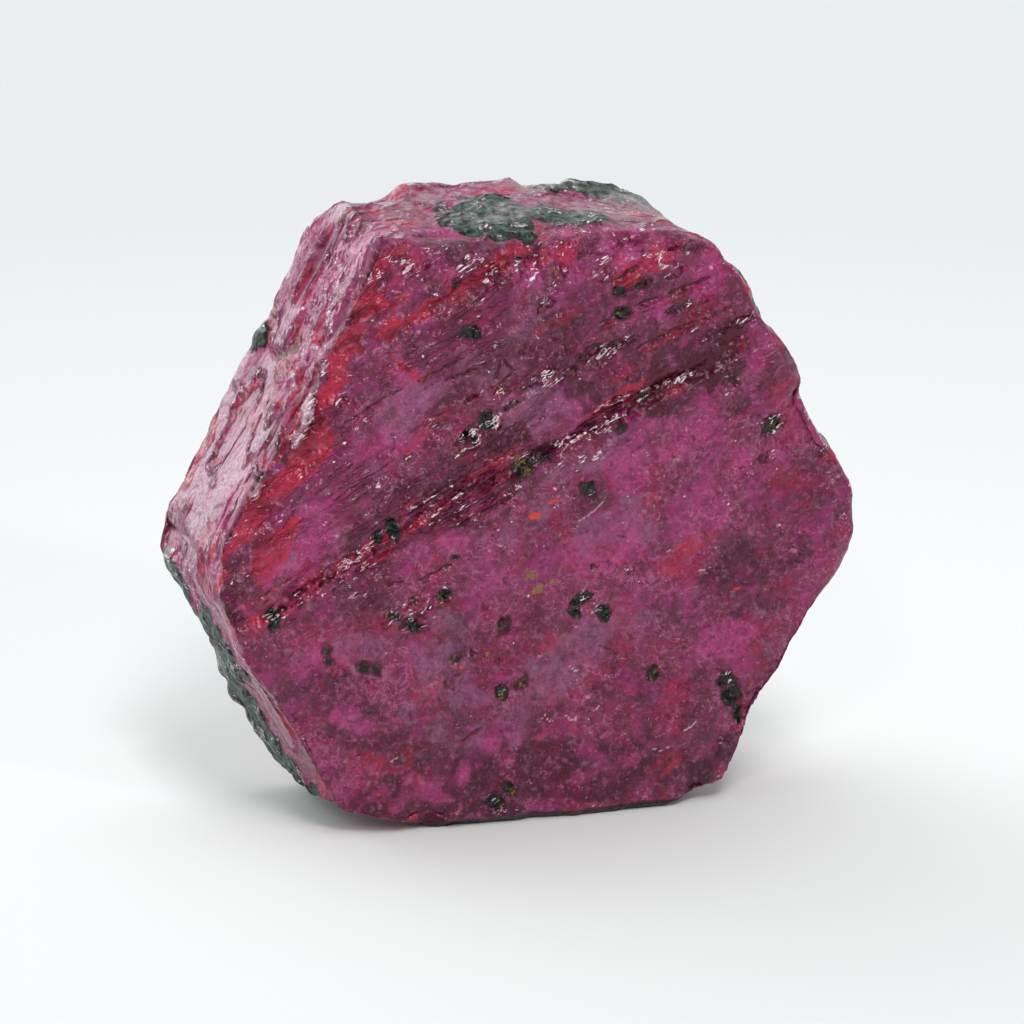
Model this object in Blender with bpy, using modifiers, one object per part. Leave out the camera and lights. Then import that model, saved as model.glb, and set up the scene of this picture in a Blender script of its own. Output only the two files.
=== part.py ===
"""Raw ruby crystal: a short six-sided corundum prism standing on one of its prism faces.

X runs across the big basal face, Y runs from that face (at -Y) to the back, and Z is up from the surface
that the stone stands on. Sizes are in millimetres until the finished mesh is scaled to metres.

The prism is cut from a block by its crystal faces. The block is then remeshed finely, and its growth ledges,
grooves, chips, pits, ridges and lumps of dark matrix are pushed in or out along the surface.
"""

import itertools
import math
from typing import NamedTuple

import bmesh
import bpy
import numpy as np
from mathutils import Vector

MM = 0.001

# Driving dimensions.
APOTHEM = 16.5  # prism axis to a prism face
FRONT_DEPTH = 5.5  # prism axis to the basal face in front
BACK_DEPTH = 5.9  # prism axis to the basal face behind
AXIS_HEIGHT = 16.0  # prism axis above the resting face
BLOCK_SIDE = 60.0

# Mesh resolution.
VOXEL = 0.22
SMOOTH_PASSES = 3
FINAL_TRIANGLES = 8800

# Broad relief of every face.
SWELL_HEIGHT, SWELL_LENGTH = 0.24, 8.5
LUMP_HEIGHT, LUMP_LENGTH = 0.10, 3.0
EDGE_WEAR_DEPTH, EDGE_WEAR_WIDTH = 0.30, 0.80
CHIP_LENGTH = 3.1

# The diagonal ledge across the front face.
LEDGE_GROOVE_DEPTH, LEDGE_GROOVE_WIDTH = 0.34, 0.34
LEDGE_RIM_HEIGHT, LEDGE_RIM_FADE = 0.26, 5.0
STRIATION_DEPTH, STRIATION_SPACING = 0.16, 0.62


class Face(NamedTuple):
    """One flat face of the crystal.

    strike is the way that it faces round the prism axis, from +X towards +Z, lean tips it towards the front,
    both in degrees, and reach is how far it lies from the middle of the crystal.
    """

    name: str
    strike: float
    lean: float
    reach: float


class Spot(NamedTuple):
    """A round feature: its middle, its radius and how far it stands out, or in when below zero."""

    x: float
    y: float
    z: float
    radius: float
    height: float


FACES = (
    Face("front", 0, 90, FRONT_DEPTH),
    Face("back", 0, -90, BACK_DEPTH),
    Face("top", 88.0, 3.0, APOTHEM + 0.5),
    Face("upper_right", 27.6, -1.5, APOTHEM + 0.05),
    Face("lower_right", -29.5, 0, APOTHEM + 0.25),
    Face("bottom", -90, 0, APOTHEM - 0.25),
    Face("lower_left", 208.2, 0, APOTHEM + 0.25),
    Face("upper_left", 150.3, 0, APOTHEM - 0.9),
    Face("sole_left", 255.2, 0, APOTHEM + 0.3),
    Face("sole_right", -66, 0, APOTHEM + 1.45),
    Face("right_tip", 6, 0, APOTHEM + 1.7),
    Face("left_tip", 180, 2, APOTHEM + 1.4),
    Face("top_margin", 88, 50, APOTHEM - 2.1),
    Face("upper_left_margin", 149, 64, APOTHEM - 5.5),
    Face("top_right", 60.7, 0, APOTHEM + 2.1),
    Face("back_top_bevel", 90, -45, APOTHEM - 1.6),
    Face("back_left_bevel", 152, -58, APOTHEM - 3.2),
    Face("back_right_bevel", 20, -52, APOTHEM - 2.4),
    Face("back_bottom_bevel", -84, -50, APOTHEM - 2.9),
)

# Points of the diagonal ledge, as X and Z on the front face, from lower left to upper right.
LEDGE = ((-16.6, 12.1), (-13.5, 14.2), (-8.0, 17.4), (-0.5, 20.2), (3.5, 21.8), (9.2, 24.3), (12.0, 25.7))
# A second, shorter ledge nearer the top, along the darker growth band.
UPPER_LEDGE = ((-10.6, 26.6), (-6.4, 28.7), (-3.3, 29.9), (-0.3, 32.2))
# Low growth steps of the lower half.
LOWER_STEP = ((-6.0, 12.6), (-2.6, 9.6), (-1.0, 8.4))
RIGHT_STEP = ((5.2, 9.6), (9.4, 6.0), (11.0, 5.4))

# Growth steps of the face behind.
BACK_LEDGE = ((-14.0, 9.5), (-8.5, 12.0), (-2.0, 13.2), (5.5, 17.6), (13.5, 21.0))
BACK_STEP = ((-7.5, 30.2), (-2.0, 26.0), (1.0, 25.2), (6.0, 20.8))

STRIATION_MIDDLE = (-4.2, 19.0)
STRIATION_ANGLE = 26.0
STRIATION_HALF_LENGTH = 2.6
STRIATION_COUNT = 4

# Dark grains and pits of the front face.
FRONT_SPOTS = (
    Spot(-3.7, -5.5, 27.9, 0.55, -0.22),
    Spot(2.9, -5.5, 18.7, 0.62, 0.16),
    Spot(-2.8, -5.5, 22.9, 0.62, -0.24),
    Spot(-3.6, -5.5, 22.1, 0.60, 0.14),
    Spot(-0.6, -5.5, 20.1, 0.65, -0.26),
    Spot(-8.0, -5.5, 17.4, 0.70, -0.30),
    Spot(2.6, -5.5, 12.1, 0.70, -0.26),
    Spot(3.9, -5.5, 11.5, 0.50, 0.14),
    Spot(-1.8, -5.5, 11.4, 0.55, -0.20),
    Spot(-6.4, -5.5, 13.0, 0.90, -0.22),
    Spot(-14.7, -5.4, 13.1, 0.60, -0.34),
    Spot(-11.8, -5.5, 10.8, 0.60, -0.16),
    Spot(-9.6, -5.5, 9.7, 0.70, -0.16),
    Spot(13.5, -5.4, 21.2, 0.90, 0.28),
    Spot(11.3, -5.4, 6.2, 0.90, -0.34),
    Spot(6.7, -5.5, 7.9, 0.50, -0.18),
    Spot(5.0, -5.5, 28.0, 0.60, -0.20),
    Spot(-2.2, -5.5, 1.4, 0.80, -0.30),
)

# Larger chips and bulges of the outline.
EDGE_SPOTS = (
    Spot(12.4, -5.4, 5.1, 1.5, -0.55),
    Spot(14.3, -4.6, 25.0, 2.2, 0.50),
    Spot(17.2, -4.8, 12.9, 1.8, 0.30),
    Spot(-16.6, -4.6, 9.8, 1.9, 0.75),
    Spot(-13.2, -4.8, 6.0, 1.8, -0.40),
    Spot(-18.0, -4.8, 16.2, 1.2, -0.40),
    Spot(-11.4, -4.6, 1.6, 1.4, -0.35),
    Spot(-7.0, -4.4, 31.9, 1.1, 0.30),
    Spot(-8.2, 5.0, 32.2, 2.0, 0.45),
    Spot(-12.2, -3.6, 3.4, 1.4, -0.20),
    Spot(9.8, -4.6, 31.6, 1.6, 0.30),
    Spot(9.0, -4.9, 0.9, 1.6, -0.25),
)

# Dark matrix grown onto the crystal: patches of rough lumps.
MATRIX_PATCHES = (
    Spot(0.8, -1.4, 33.0, 4.8, 0.32),
    Spot(5.4, -0.8, 33.0, 2.8, 0.28),
    Spot(-3.4, 5.0, 33.3, 3.0, 0.85),
    Spot(-0.2, 5.0, 33.2, 2.4, 0.45),
    Spot(4.6, 4.4, 33.0, 3.2, 0.35),
    Spot(8.6, 0.6, 32.4, 2.8, 0.30),
    Spot(-15.2, 2.4, 10.4, 4.0, 0.50),
    Spot(-13.4, 4.0, 6.4, 4.2, 0.70),
    Spot(-11.6, 1.0, 2.6, 3.8, 0.50),
    Spot(-17.4, 3.8, 13.0, 2.6, 0.35),
    Spot(12.2, -2.6, 28.2, 2.9, 0.42),
    Spot(14.6, -2.4, 24.0, 2.5, 0.36),
    Spot(17.4, -2.2, 19.4, 2.2, 0.34),
    Spot(15.4, 2.6, 22.0, 3.2, 0.40),
    Spot(-11.4, 4.6, 27.2, 1.8, 0.40),
    Spot(7.0, 5.9, 9.5, 6.0, 0.60),
    Spot(-6.5, 5.9, 20.5, 4.5, 0.50),
    Spot(11.5, 3.0, 4.5, 3.5, 0.60),
)


def clear_scene():
    for obj in list(bpy.data.objects):
        bpy.data.objects.remove(obj, do_unlink=True)


def outward(face):
    strike, lean = math.radians(face.strike), math.radians(face.lean)
    return Vector((math.cos(lean) * math.cos(strike), -math.sin(lean), math.cos(lean) * math.sin(strike)))


def cut_away(bm, point, normal):
    """Cut off what lies beyond a plane and close the cut with one face."""
    everything = bm.verts[:] + bm.edges[:] + bm.faces[:]
    cut = bmesh.ops.bisect_plane(
        bm, geom=everything, plane_co=point, plane_no=normal, clear_outer=True, dist=1e-5
    )
    rim = [item for item in cut["geom_cut"] if isinstance(item, bmesh.types.BMEdge)]
    if rim:
        bmesh.ops.contextual_create(bm, geom=rim)


def crystal_block():
    """The bare prism with its bevels, still with sharp edges."""
    middle = Vector((0, 0, AXIS_HEIGHT))
    bm = bmesh.new()
    bmesh.ops.create_cube(bm, size=BLOCK_SIDE)
    bmesh.ops.translate(bm, verts=bm.verts, vec=middle)
    for face in FACES:
        normal = outward(face)
        cut_away(bm, middle + normal * face.reach, normal)
    bmesh.ops.recalc_face_normals(bm, faces=bm.faces)
    mesh = bpy.data.meshes.new("ruby_crystal")
    bm.to_mesh(mesh)
    bm.free()
    return bpy.data.objects.new("ruby_crystal", mesh)


def apply_modifiers(obj):
    """Replace an object's mesh by what its modifiers make of it."""
    bpy.context.view_layer.update()
    graph = bpy.context.evaluated_depsgraph_get()
    finished = bpy.data.meshes.new_from_object(obj.evaluated_get(graph))
    obj.modifiers.clear()
    obj.data = finished


def remesh_finely(obj):
    remesh = obj.modifiers.new("fine", "REMESH")
    remesh.mode = "VOXEL"
    remesh.voxel_size = VOXEL
    smooth = obj.modifiers.new("soften", "SMOOTH")
    smooth.factor = 0.5
    smooth.iterations = SMOOTH_PASSES
    apply_modifiers(obj)


def hashed(cells, seed):
    """A repeatable value from -1 to 1 for each whole-numbered cell."""
    x, y, z = (cells[:, axis].astype(np.int64) for axis in range(3))
    mixed = (x * 374761393 + y * 668265263 + z * 2147483647 + seed * 1274126177) & 0xFFFFFFFF
    mixed = ((mixed ^ (mixed >> 13)) * 1274126177) & 0xFFFFFFFF
    mixed = mixed ^ (mixed >> 16)
    return (mixed & 0xFFFF) / 32767.5 - 1.0


def noise(points, wavelength, seed):
    """Smooth noise from -1 to 1."""
    scaled = points / wavelength
    cell = np.floor(scaled).astype(np.int64)
    part = scaled - cell
    part = part * part * (3.0 - 2.0 * part)
    total = np.zeros(len(points))
    for corner in itertools.product((0, 1), repeat=3):
        weight = np.prod(np.where(corner, part, 1.0 - part), axis=1)
        total += weight * hashed(cell + np.array(corner), seed)
    return total


def ridges(points, wavelength, seed):
    """Sharp-crested noise from 0 to 1."""
    return 1.0 - np.abs(noise(points, wavelength, seed)) * 2.0


def ramp(value, low, high):
    share = np.clip((value - low) / (high - low), 0.0, 1.0)
    return share * share * (3.0 - 2.0 * share)


def along_polyline(points, corners):
    """For X and Z of each point: the signed distance to a line of corners, and the share of it run so far."""
    flat = points[:, (0, 2)]
    best = np.full(len(flat), 1e9)
    signed = np.zeros(len(flat))
    run = np.zeros(len(flat))
    pieces = list(zip(np.array(corners[:-1]), np.array(corners[1:])))
    lengths = np.array([np.linalg.norm(end - start) for start, end in pieces])
    for index, (start, end) in enumerate(pieces):
        along = end - start
        share = np.clip((flat - start) @ along / (along @ along), 0.0, 1.0)
        gap = flat - (start + share[:, None] * along)
        distance = np.linalg.norm(gap, axis=1)
        side = np.sign(gap[:, 0] * along[1] - gap[:, 1] * along[0])
        nearer = distance < best
        best = np.where(nearer, distance, best)
        signed = np.where(nearer, side * distance, signed)
        travelled = (lengths[:index].sum() + share * lengths[index]) / lengths.sum()
        run = np.where(nearer, travelled, run)
    return signed, run


def facing_front(normals):
    return ramp(-normals[:, 1], 0.55, 0.85)


def edge_distance(points):
    """How far each point lies from the nearest edge between two crystal faces."""
    middle = np.array([0.0, 0.0, AXIS_HEIGHT])
    depths = np.array([face.reach - (points - middle) @ np.array(outward(face)) for face in FACES])
    return np.sort(np.abs(depths), axis=0)[1]


def broad_relief(points):
    return SWELL_HEIGHT * noise(points, SWELL_LENGTH, 3) + LUMP_HEIGHT * noise(points, LUMP_LENGTH, 5)


def edge_wear(points):
    near = np.exp(-edge_distance(points) / EDGE_WEAR_WIDTH)
    chips = 2.2 * ramp(noise(points, CHIP_LENGTH, 11), 0.25, 0.75)
    return -EDGE_WEAR_DEPTH * near * (0.45 + chips + 0.35 * noise(points, 1.5, 12))


def ledge_profile(points, corners, strength):
    """A groove along the upper side of a line, and ground that starts high and fades away below it."""
    wobble = 0.22 * noise(points, 1.8, 21)
    distance, run = along_polyline(points, corners)
    distance = distance + wobble
    ends = ramp(run, 0.0, 0.06) * (1.0 - ramp(run, 0.93, 1.0))
    groove = np.exp(-(((distance + LEDGE_GROOVE_WIDTH) / LEDGE_GROOVE_WIDTH) ** 2))
    groove = groove * (0.55 + 0.75 * noise(points, 2.6, 22))
    rim = ramp(distance, 0.0, 0.3) * np.exp(-np.maximum(distance, 0.0) / LEDGE_RIM_FADE)
    return strength * ends * (LEDGE_RIM_HEIGHT * rim - LEDGE_GROOVE_DEPTH * groove)


def striations(points):
    """A band of short parallel grooves."""
    angle = math.radians(STRIATION_ANGLE)
    across_way = np.array([-math.sin(angle), math.cos(angle)])
    along_way = np.array([math.cos(angle), math.sin(angle)])
    offset = points[:, (0, 2)] - np.array(STRIATION_MIDDLE)
    across = offset @ across_way + 0.06 * noise(points, 2.0, 31)
    along = offset @ along_way
    half_width = 0.5 * STRIATION_COUNT * STRIATION_SPACING
    inside = 1.0 - ramp(np.abs(across), half_width - 0.2, half_width + 0.1)
    inside *= 1.0 - ramp(np.abs(along), STRIATION_HALF_LENGTH - 0.7, STRIATION_HALF_LENGTH + 0.5)
    wave = 0.5 - 0.5 * np.cos(2.0 * math.pi * across / STRIATION_SPACING)
    return -STRIATION_DEPTH * inside * wave


def spots(points, items):
    total = np.zeros(len(points))
    for spot in items:
        away = np.linalg.norm(points - np.array([spot.x, spot.y, spot.z]), axis=1) / spot.radius
        total += spot.height * np.exp(-(away**2))
    return total


def front_relief(points, normals):
    relief = ledge_profile(points, LEDGE, 1.0) + ledge_profile(points, UPPER_LEDGE, 0.55)
    relief += ledge_profile(points, LOWER_STEP, 0.5) + ledge_profile(points, RIGHT_STEP, 0.45)
    relief += striations(points) + spots(points, FRONT_SPOTS)
    top_band = ramp(points[:, 2], 29.5, 31.6)
    relief += 0.22 * top_band * noise(points, 1.3, 41)
    return facing_front(normals) * relief


def back_relief(points, normals):
    relief = ledge_profile(points, BACK_LEDGE, 0.9) + ledge_profile(points, BACK_STEP, 0.7)
    return ramp(normals[:, 1], 0.55, 0.85) * relief


def upper_left_relief(points, normals):
    """The left prism face: long ridges in its upper part, smoother ground below."""
    tilted = np.stack([points[:, 0] * 0.35, points[:, 1] * 1.3, points[:, 2] * 0.35], axis=1)
    way = np.array(outward(next(face for face in FACES if face.name == "upper_left")))
    facing = ramp(normals @ way, 0.7, 0.92)
    upper = ramp(points[:, 2], 20.5, 25.5)
    return facing * (0.10 + 0.55 * upper) * (ridges(tilted, 2.1, 51) - 0.45) * 0.55


def matrix_relief(points):
    total = np.zeros(len(points))
    lumps = 0.55 + 0.45 * noise(points, 1.5, 61) + 0.30 * noise(points, 0.8, 62)
    for patch in MATRIX_PATCHES:
        away = np.linalg.norm(points - np.array([patch.x, patch.y, patch.z]), axis=1) / patch.radius
        away = away + 0.18 * noise(points, 1.7, 63) + 0.30 * noise(points, 4.2, 64)
        total = np.maximum(total, patch.height * (1.0 - ramp(away, 0.55, 1.0)))
    return total * lumps


def carve(obj):
    """Push the fine mesh in and out along its surface."""
    mesh = obj.data
    count = len(mesh.vertices)
    points = np.empty(count * 3)
    mesh.vertices.foreach_get("co", points)
    points = points.reshape(-1, 3)
    normals = np.array([vertex.vector for vertex in mesh.vertex_normals])
    height = broad_relief(points) + edge_wear(points) + spots(points, EDGE_SPOTS)
    height += front_relief(points, normals) + back_relief(points, normals)
    height += upper_left_relief(points, normals) + matrix_relief(points)
    height *= 1.0 - ramp(-normals[:, 2], 0.975, 0.99)  # the resting face stays flat
    moved = points + normals * height[:, None]
    mesh.vertices.foreach_set("co", moved.ravel())
    mesh.update()


def thin_out(obj):
    """Keep triangles where the relief needs them."""
    obj.data.calc_loop_triangles()
    decimate = obj.modifiers.new("thin", "DECIMATE")
    decimate.ratio = FINAL_TRIANGLES / len(obj.data.loop_triangles)
    decimate.use_collapse_triangulate = True
    apply_modifiers(obj)


def cut_resting_face(obj):
    """Grind a flat at Z = 0 for the stone to rest on."""
    bm = bmesh.new()
    bm.from_mesh(obj.data)
    cut_away(bm, Vector((0, 0, 0)), Vector((0, 0, -1)))
    bmesh.ops.triangulate(bm, faces=bm.faces)
    bmesh.ops.recalc_face_normals(bm, faces=bm.faces)
    bm.to_mesh(obj.data)
    bm.free()


def centre_and_scale(obj):
    """Put the middle of the box at X = Y = 0 and its bottom at Z = 0, and turn millimetres into metres."""
    mesh = obj.data
    points = np.empty(len(mesh.vertices) * 3)
    mesh.vertices.foreach_get("co", points)
    points = points.reshape(-1, 3)
    low, high = points.min(axis=0), points.max(axis=0)
    points -= np.array([(low[0] + high[0]) / 2, (low[1] + high[1]) / 2, low[2]])
    mesh.vertices.foreach_set("co", (points * MM).ravel())
    mesh.update()


def ruby_material():
    material = bpy.data.materials.new("raw ruby")
    material.use_nodes = True
    shader = material.node_tree.nodes["Principled BSDF"]
    shader.inputs["Base Color"].default_value = (0.19, 0.055, 0.10, 1.0)
    shader.inputs["Roughness"].default_value = 0.32
    shader.inputs["IOR"].default_value = 1.77
    shader.inputs["Metallic"].default_value = 0.0
    return material


def main():
    clear_scene()
    collection = bpy.data.collections.new("raw_ruby_crystal")
    bpy.context.scene.collection.children.link(collection)
    crystal = crystal_block()
    collection.objects.link(crystal)
    remesh_finely(crystal)
    carve(crystal)
    thin_out(crystal)
    cut_resting_face(crystal)
    centre_and_scale(crystal)
    crystal.data.materials.append(ruby_material())


main()
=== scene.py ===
"""Looks of a raw ruby crystal: a short six-sided corundum prism with dark amphibole matrix grown onto it.

The crystal is cut from a block by its faces and remeshed finely. Growth ledges, striations, torn streaks, chips,
pits, grains and matrix lumps are then pushed in or out along its surface. The same named features leave masks on
the mesh, and the corundum finish mixes its colours from those masks. Lengths are in millimetres, in the crystal's
own frame, until the finished mesh is fitted into the solid's box in metres.
"""

import itertools
import logging
import math
from collections.abc import Callable
from dataclasses import dataclass, field
from enum import Enum
from functools import partial

import bmesh
import bpy
import numpy as np
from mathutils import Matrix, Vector

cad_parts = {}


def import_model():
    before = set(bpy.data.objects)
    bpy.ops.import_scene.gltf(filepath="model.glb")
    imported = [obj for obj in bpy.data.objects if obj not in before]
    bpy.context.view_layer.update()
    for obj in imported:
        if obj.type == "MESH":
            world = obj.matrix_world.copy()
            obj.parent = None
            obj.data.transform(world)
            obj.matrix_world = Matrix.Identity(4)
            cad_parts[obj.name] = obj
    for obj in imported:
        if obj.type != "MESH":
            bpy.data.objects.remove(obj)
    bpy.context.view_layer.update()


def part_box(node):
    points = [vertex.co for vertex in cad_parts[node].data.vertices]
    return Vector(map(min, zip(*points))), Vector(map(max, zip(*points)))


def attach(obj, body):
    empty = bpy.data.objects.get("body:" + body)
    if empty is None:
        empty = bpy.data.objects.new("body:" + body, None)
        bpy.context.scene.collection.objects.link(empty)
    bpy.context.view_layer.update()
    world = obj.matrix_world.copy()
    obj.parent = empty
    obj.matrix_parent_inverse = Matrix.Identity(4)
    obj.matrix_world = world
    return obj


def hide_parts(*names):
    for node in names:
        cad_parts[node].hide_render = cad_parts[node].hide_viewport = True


LOG = logging.getLogger("ruby_crystal")
MM = 0.001
NODE = "ruby_crystal"
BODY = "root"
WORD = 0xFFFFFFFF
AXIS_PRIMES = (374761393, 668265263, 2147483647)
MIXING_PRIME = 1274126177


# ---- Fields over points in space ----


def hashed(cells: np.ndarray, seed: int) -> np.ndarray:
    """Give each whole-numbered cell a repeatable value.

    Args:
        cells: whole numbers, one row of three for each cell.
        seed: which of many unlike sets of values to use.

    Returns:
        One value from -1 to 1 for each cell.
    """
    x, y, z = (cells[:, axis].astype(np.int64) * prime for axis, prime in enumerate(AXIS_PRIMES))
    mixed = (x + y + z + seed * MIXING_PRIME) & WORD
    mixed = ((mixed ^ (mixed >> 13)) * MIXING_PRIME) & WORD
    mixed = mixed ^ (mixed >> 16)
    return (mixed & 0xFFFF) / 32767.5 - 1.0


def noise(points: np.ndarray, wavelength: float, seed: int) -> np.ndarray:
    """Give smooth noise.

    Args:
        points: one row of three for each point.
        wavelength: the size of one lattice cell, in the points' unit.
        seed: which of many unlike noises to use, a number of its own in each call.

    Returns:
        One value from -1 to 1 for each point.
    """
    scaled = points / wavelength
    cell = np.floor(scaled).astype(np.int64)
    part = scaled - cell
    part = part * part * (3.0 - 2.0 * part)
    total = np.zeros(len(points))
    for corner in itertools.product((0, 1), repeat=3):
        weight = np.prod(np.where(corner, part, 1.0 - part), axis=1)
        total += weight * hashed(cell + np.array(corner), seed)
    return total


def ridges(points: np.ndarray, wavelength: float, seed: int) -> np.ndarray:
    """Give sharp-crested noise.

    Args:
        points: one row of three for each point.
        wavelength: the size of one lattice cell, in the points' unit.
        seed: which of many unlike noises to use.

    Returns:
        One value from about -1 to 1 for each point, 1 along the crests.
    """
    return 1.0 - np.abs(noise(points, wavelength, seed)) * 2.0


def ramp(value: np.ndarray, low: float, high: float) -> np.ndarray:
    """Rise smoothly from 0 at low to 1 at high.

    Args:
        value: what is compared with the two limits.
        low: where the rise starts.
        high: where the rise ends.

    Returns:
        One share from 0 to 1 for each value.
    """
    share = np.clip((value - low) / (high - low), 0.0, 1.0)
    return share * share * (3.0 - 2.0 * share)


def along_line(flat: np.ndarray, corners: tuple) -> tuple[np.ndarray, np.ndarray]:
    """Measure points against a line of corners in a plane.

    Args:
        flat: one row of two for each point.
        corners: the line's corners, each a pair.

    Returns:
        The distance of each point, above zero on the right of the line, and the share of the line run so far.
    """
    best = np.full(len(flat), 1e9)
    signed = np.zeros(len(flat))
    run = np.zeros(len(flat))
    pieces = list(zip(np.array(corners[:-1]), np.array(corners[1:])))
    lengths = np.array([np.linalg.norm(end - start) for start, end in pieces])
    for index, (start, end) in enumerate(pieces):
        way = end - start
        share = np.clip((flat - start) @ way / (way @ way), 0.0, 1.0)
        gap = flat - (start + share[:, None] * way)
        distance = np.linalg.norm(gap, axis=1)
        side = np.where(gap[:, 0] * way[1] - gap[:, 1] * way[0] < 0.0, -1.0, 1.0)
        nearer = distance < best
        best = np.where(nearer, distance, best)
        signed = np.where(nearer, side * distance, signed)
        run = np.where(nearer, (lengths[:index].sum() + share * lengths[index]) / lengths.sum(), run)
    return signed, run


def turned(points: np.ndarray, x: float, z: float, turn: float) -> tuple[np.ndarray, np.ndarray]:
    """Measure points along and across a line that runs through a point of the front face.

    Args:
        points: one row of three for each point.
        x: where the line starts, across.
        z: where it starts, up.
        turn: how it is turned from level, in radians.

    Returns:
        How far each point lies along the line, and how far above it.
    """
    dx, dz = points[:, 0] - x, points[:, 2] - z
    cosine, sine = math.cos(turn), math.sin(turn)
    return dx * cosine + dz * sine, dz * cosine - dx * sine


# ---- What the features leave on the surface ----


class Mask(Enum):
    """What a feature marks on the surface, for the finish to colour."""

    CRIMSON = "crimson"
    # painted shade in grooves, hollows, round grains and at the foot, with the deeper red seen into them, and the
    # darkest wine zone
    CREVICE_SHADE_AND_WINE = "crevice"
    # dark amphibole, also laid on the foot as a painted shadow and in the low parts of the torn zones
    MATRIX = "matrix"
    OLIVE = "olive"
    ORANGE = "orange"
    # painted sheen and highlights, where smooth or raised parts mirror the bright surroundings
    PAINTED_SHEEN = "pale"
    MAGENTA = "magenta"
    # dusky zones of the stone, also painted shade at the bottom of the front and at the foot
    DUSK_AND_PAINTED_SHADE = "dusk"
    # fresh steps: low roughness and tilted facets for real glints, and painted white glints in the colour
    FRESH_STEPS_AND_PAINTED_GLINTS = "sparkle"
    STREAK = "streak"
    LINT = "lint"
    # smooth planes: low roughness, and a paler colour that is painted sheen
    POLISHED_WITH_PAINTED_SHEEN = "polish"
    # haze: partly milky silk, partly painted sheen of the surroundings
    HAZE_AND_PAINTED_SHEEN = "haze"
    # painted sheen on the top face and its crust
    PAINTED_TOP_SHEEN = "dust"


@dataclass
class Surface:
    """The crystal's points with what the features have done to them so far.

    Attributes:
        points: where each point of the mesh lies before any relief.
        normals: the way that each point faces.
        edges: how far each point lies from the nearest edge between two faces.
    """

    points: np.ndarray
    normals: np.ndarray
    edges: np.ndarray
    height: np.ndarray = field(init=False)
    masks: dict[Mask, np.ndarray] = field(init=False)

    def __post_init__(self) -> None:
        """Start with no relief and empty masks."""
        self.height = np.zeros(len(self.points))
        self.masks = {mask: np.zeros(len(self.points)) for mask in Mask}

    def mark(self, mask: Mask, share: np.ndarray) -> None:
        """Mark part of the surface, keeping the stronger of the old and the new mark.

        Args:
            mask: what is marked.
            share: how strongly, from 0 to 1, for each point.
        """
        self.masks[mask] = np.maximum(self.masks[mask], np.clip(share, 0.0, 1.0))

    def clear(self, mask: Mask, share: np.ndarray) -> None:
        """Wipe a mark away.

        Args:
            mask: what is wiped.
            share: how much is wiped, from 0 to 1, for each point.
        """
        self.masks[mask] = self.masks[mask] * (1.0 - np.clip(share, 0.0, 1.0))

    def facing(self, way: np.ndarray, low: float, high: float) -> np.ndarray:
        """Tell which points face a given way.

        Args:
            way: the direction, of length 1.
            low: the cosine under which a point doesn't count.
            high: the cosine over which a point counts fully.

        Returns:
            One share from 0 to 1 for each point.
        """
        return ramp(self.normals @ way, low, high)


# ---- The crystal's faces ----


@dataclass(frozen=True)
class CrystalFace:
    """One flat face.

    Attributes:
        name: what the face is called.
        strike: the way that it faces round the prism axis, from +X towards +Z, in degrees.
        lean: how far it tips towards the front, in degrees.
        reach: how far it lies from the middle of the crystal.
    """

    name: str
    strike: float
    lean: float
    reach: float

    def outward(self) -> np.ndarray:
        """Return the direction that the face looks, of length 1."""
        strike, lean = math.radians(self.strike), math.radians(self.lean)
        return np.array(
            [math.cos(lean) * math.cos(strike), -math.sin(lean), math.cos(lean) * math.sin(strike)]
        )


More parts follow.
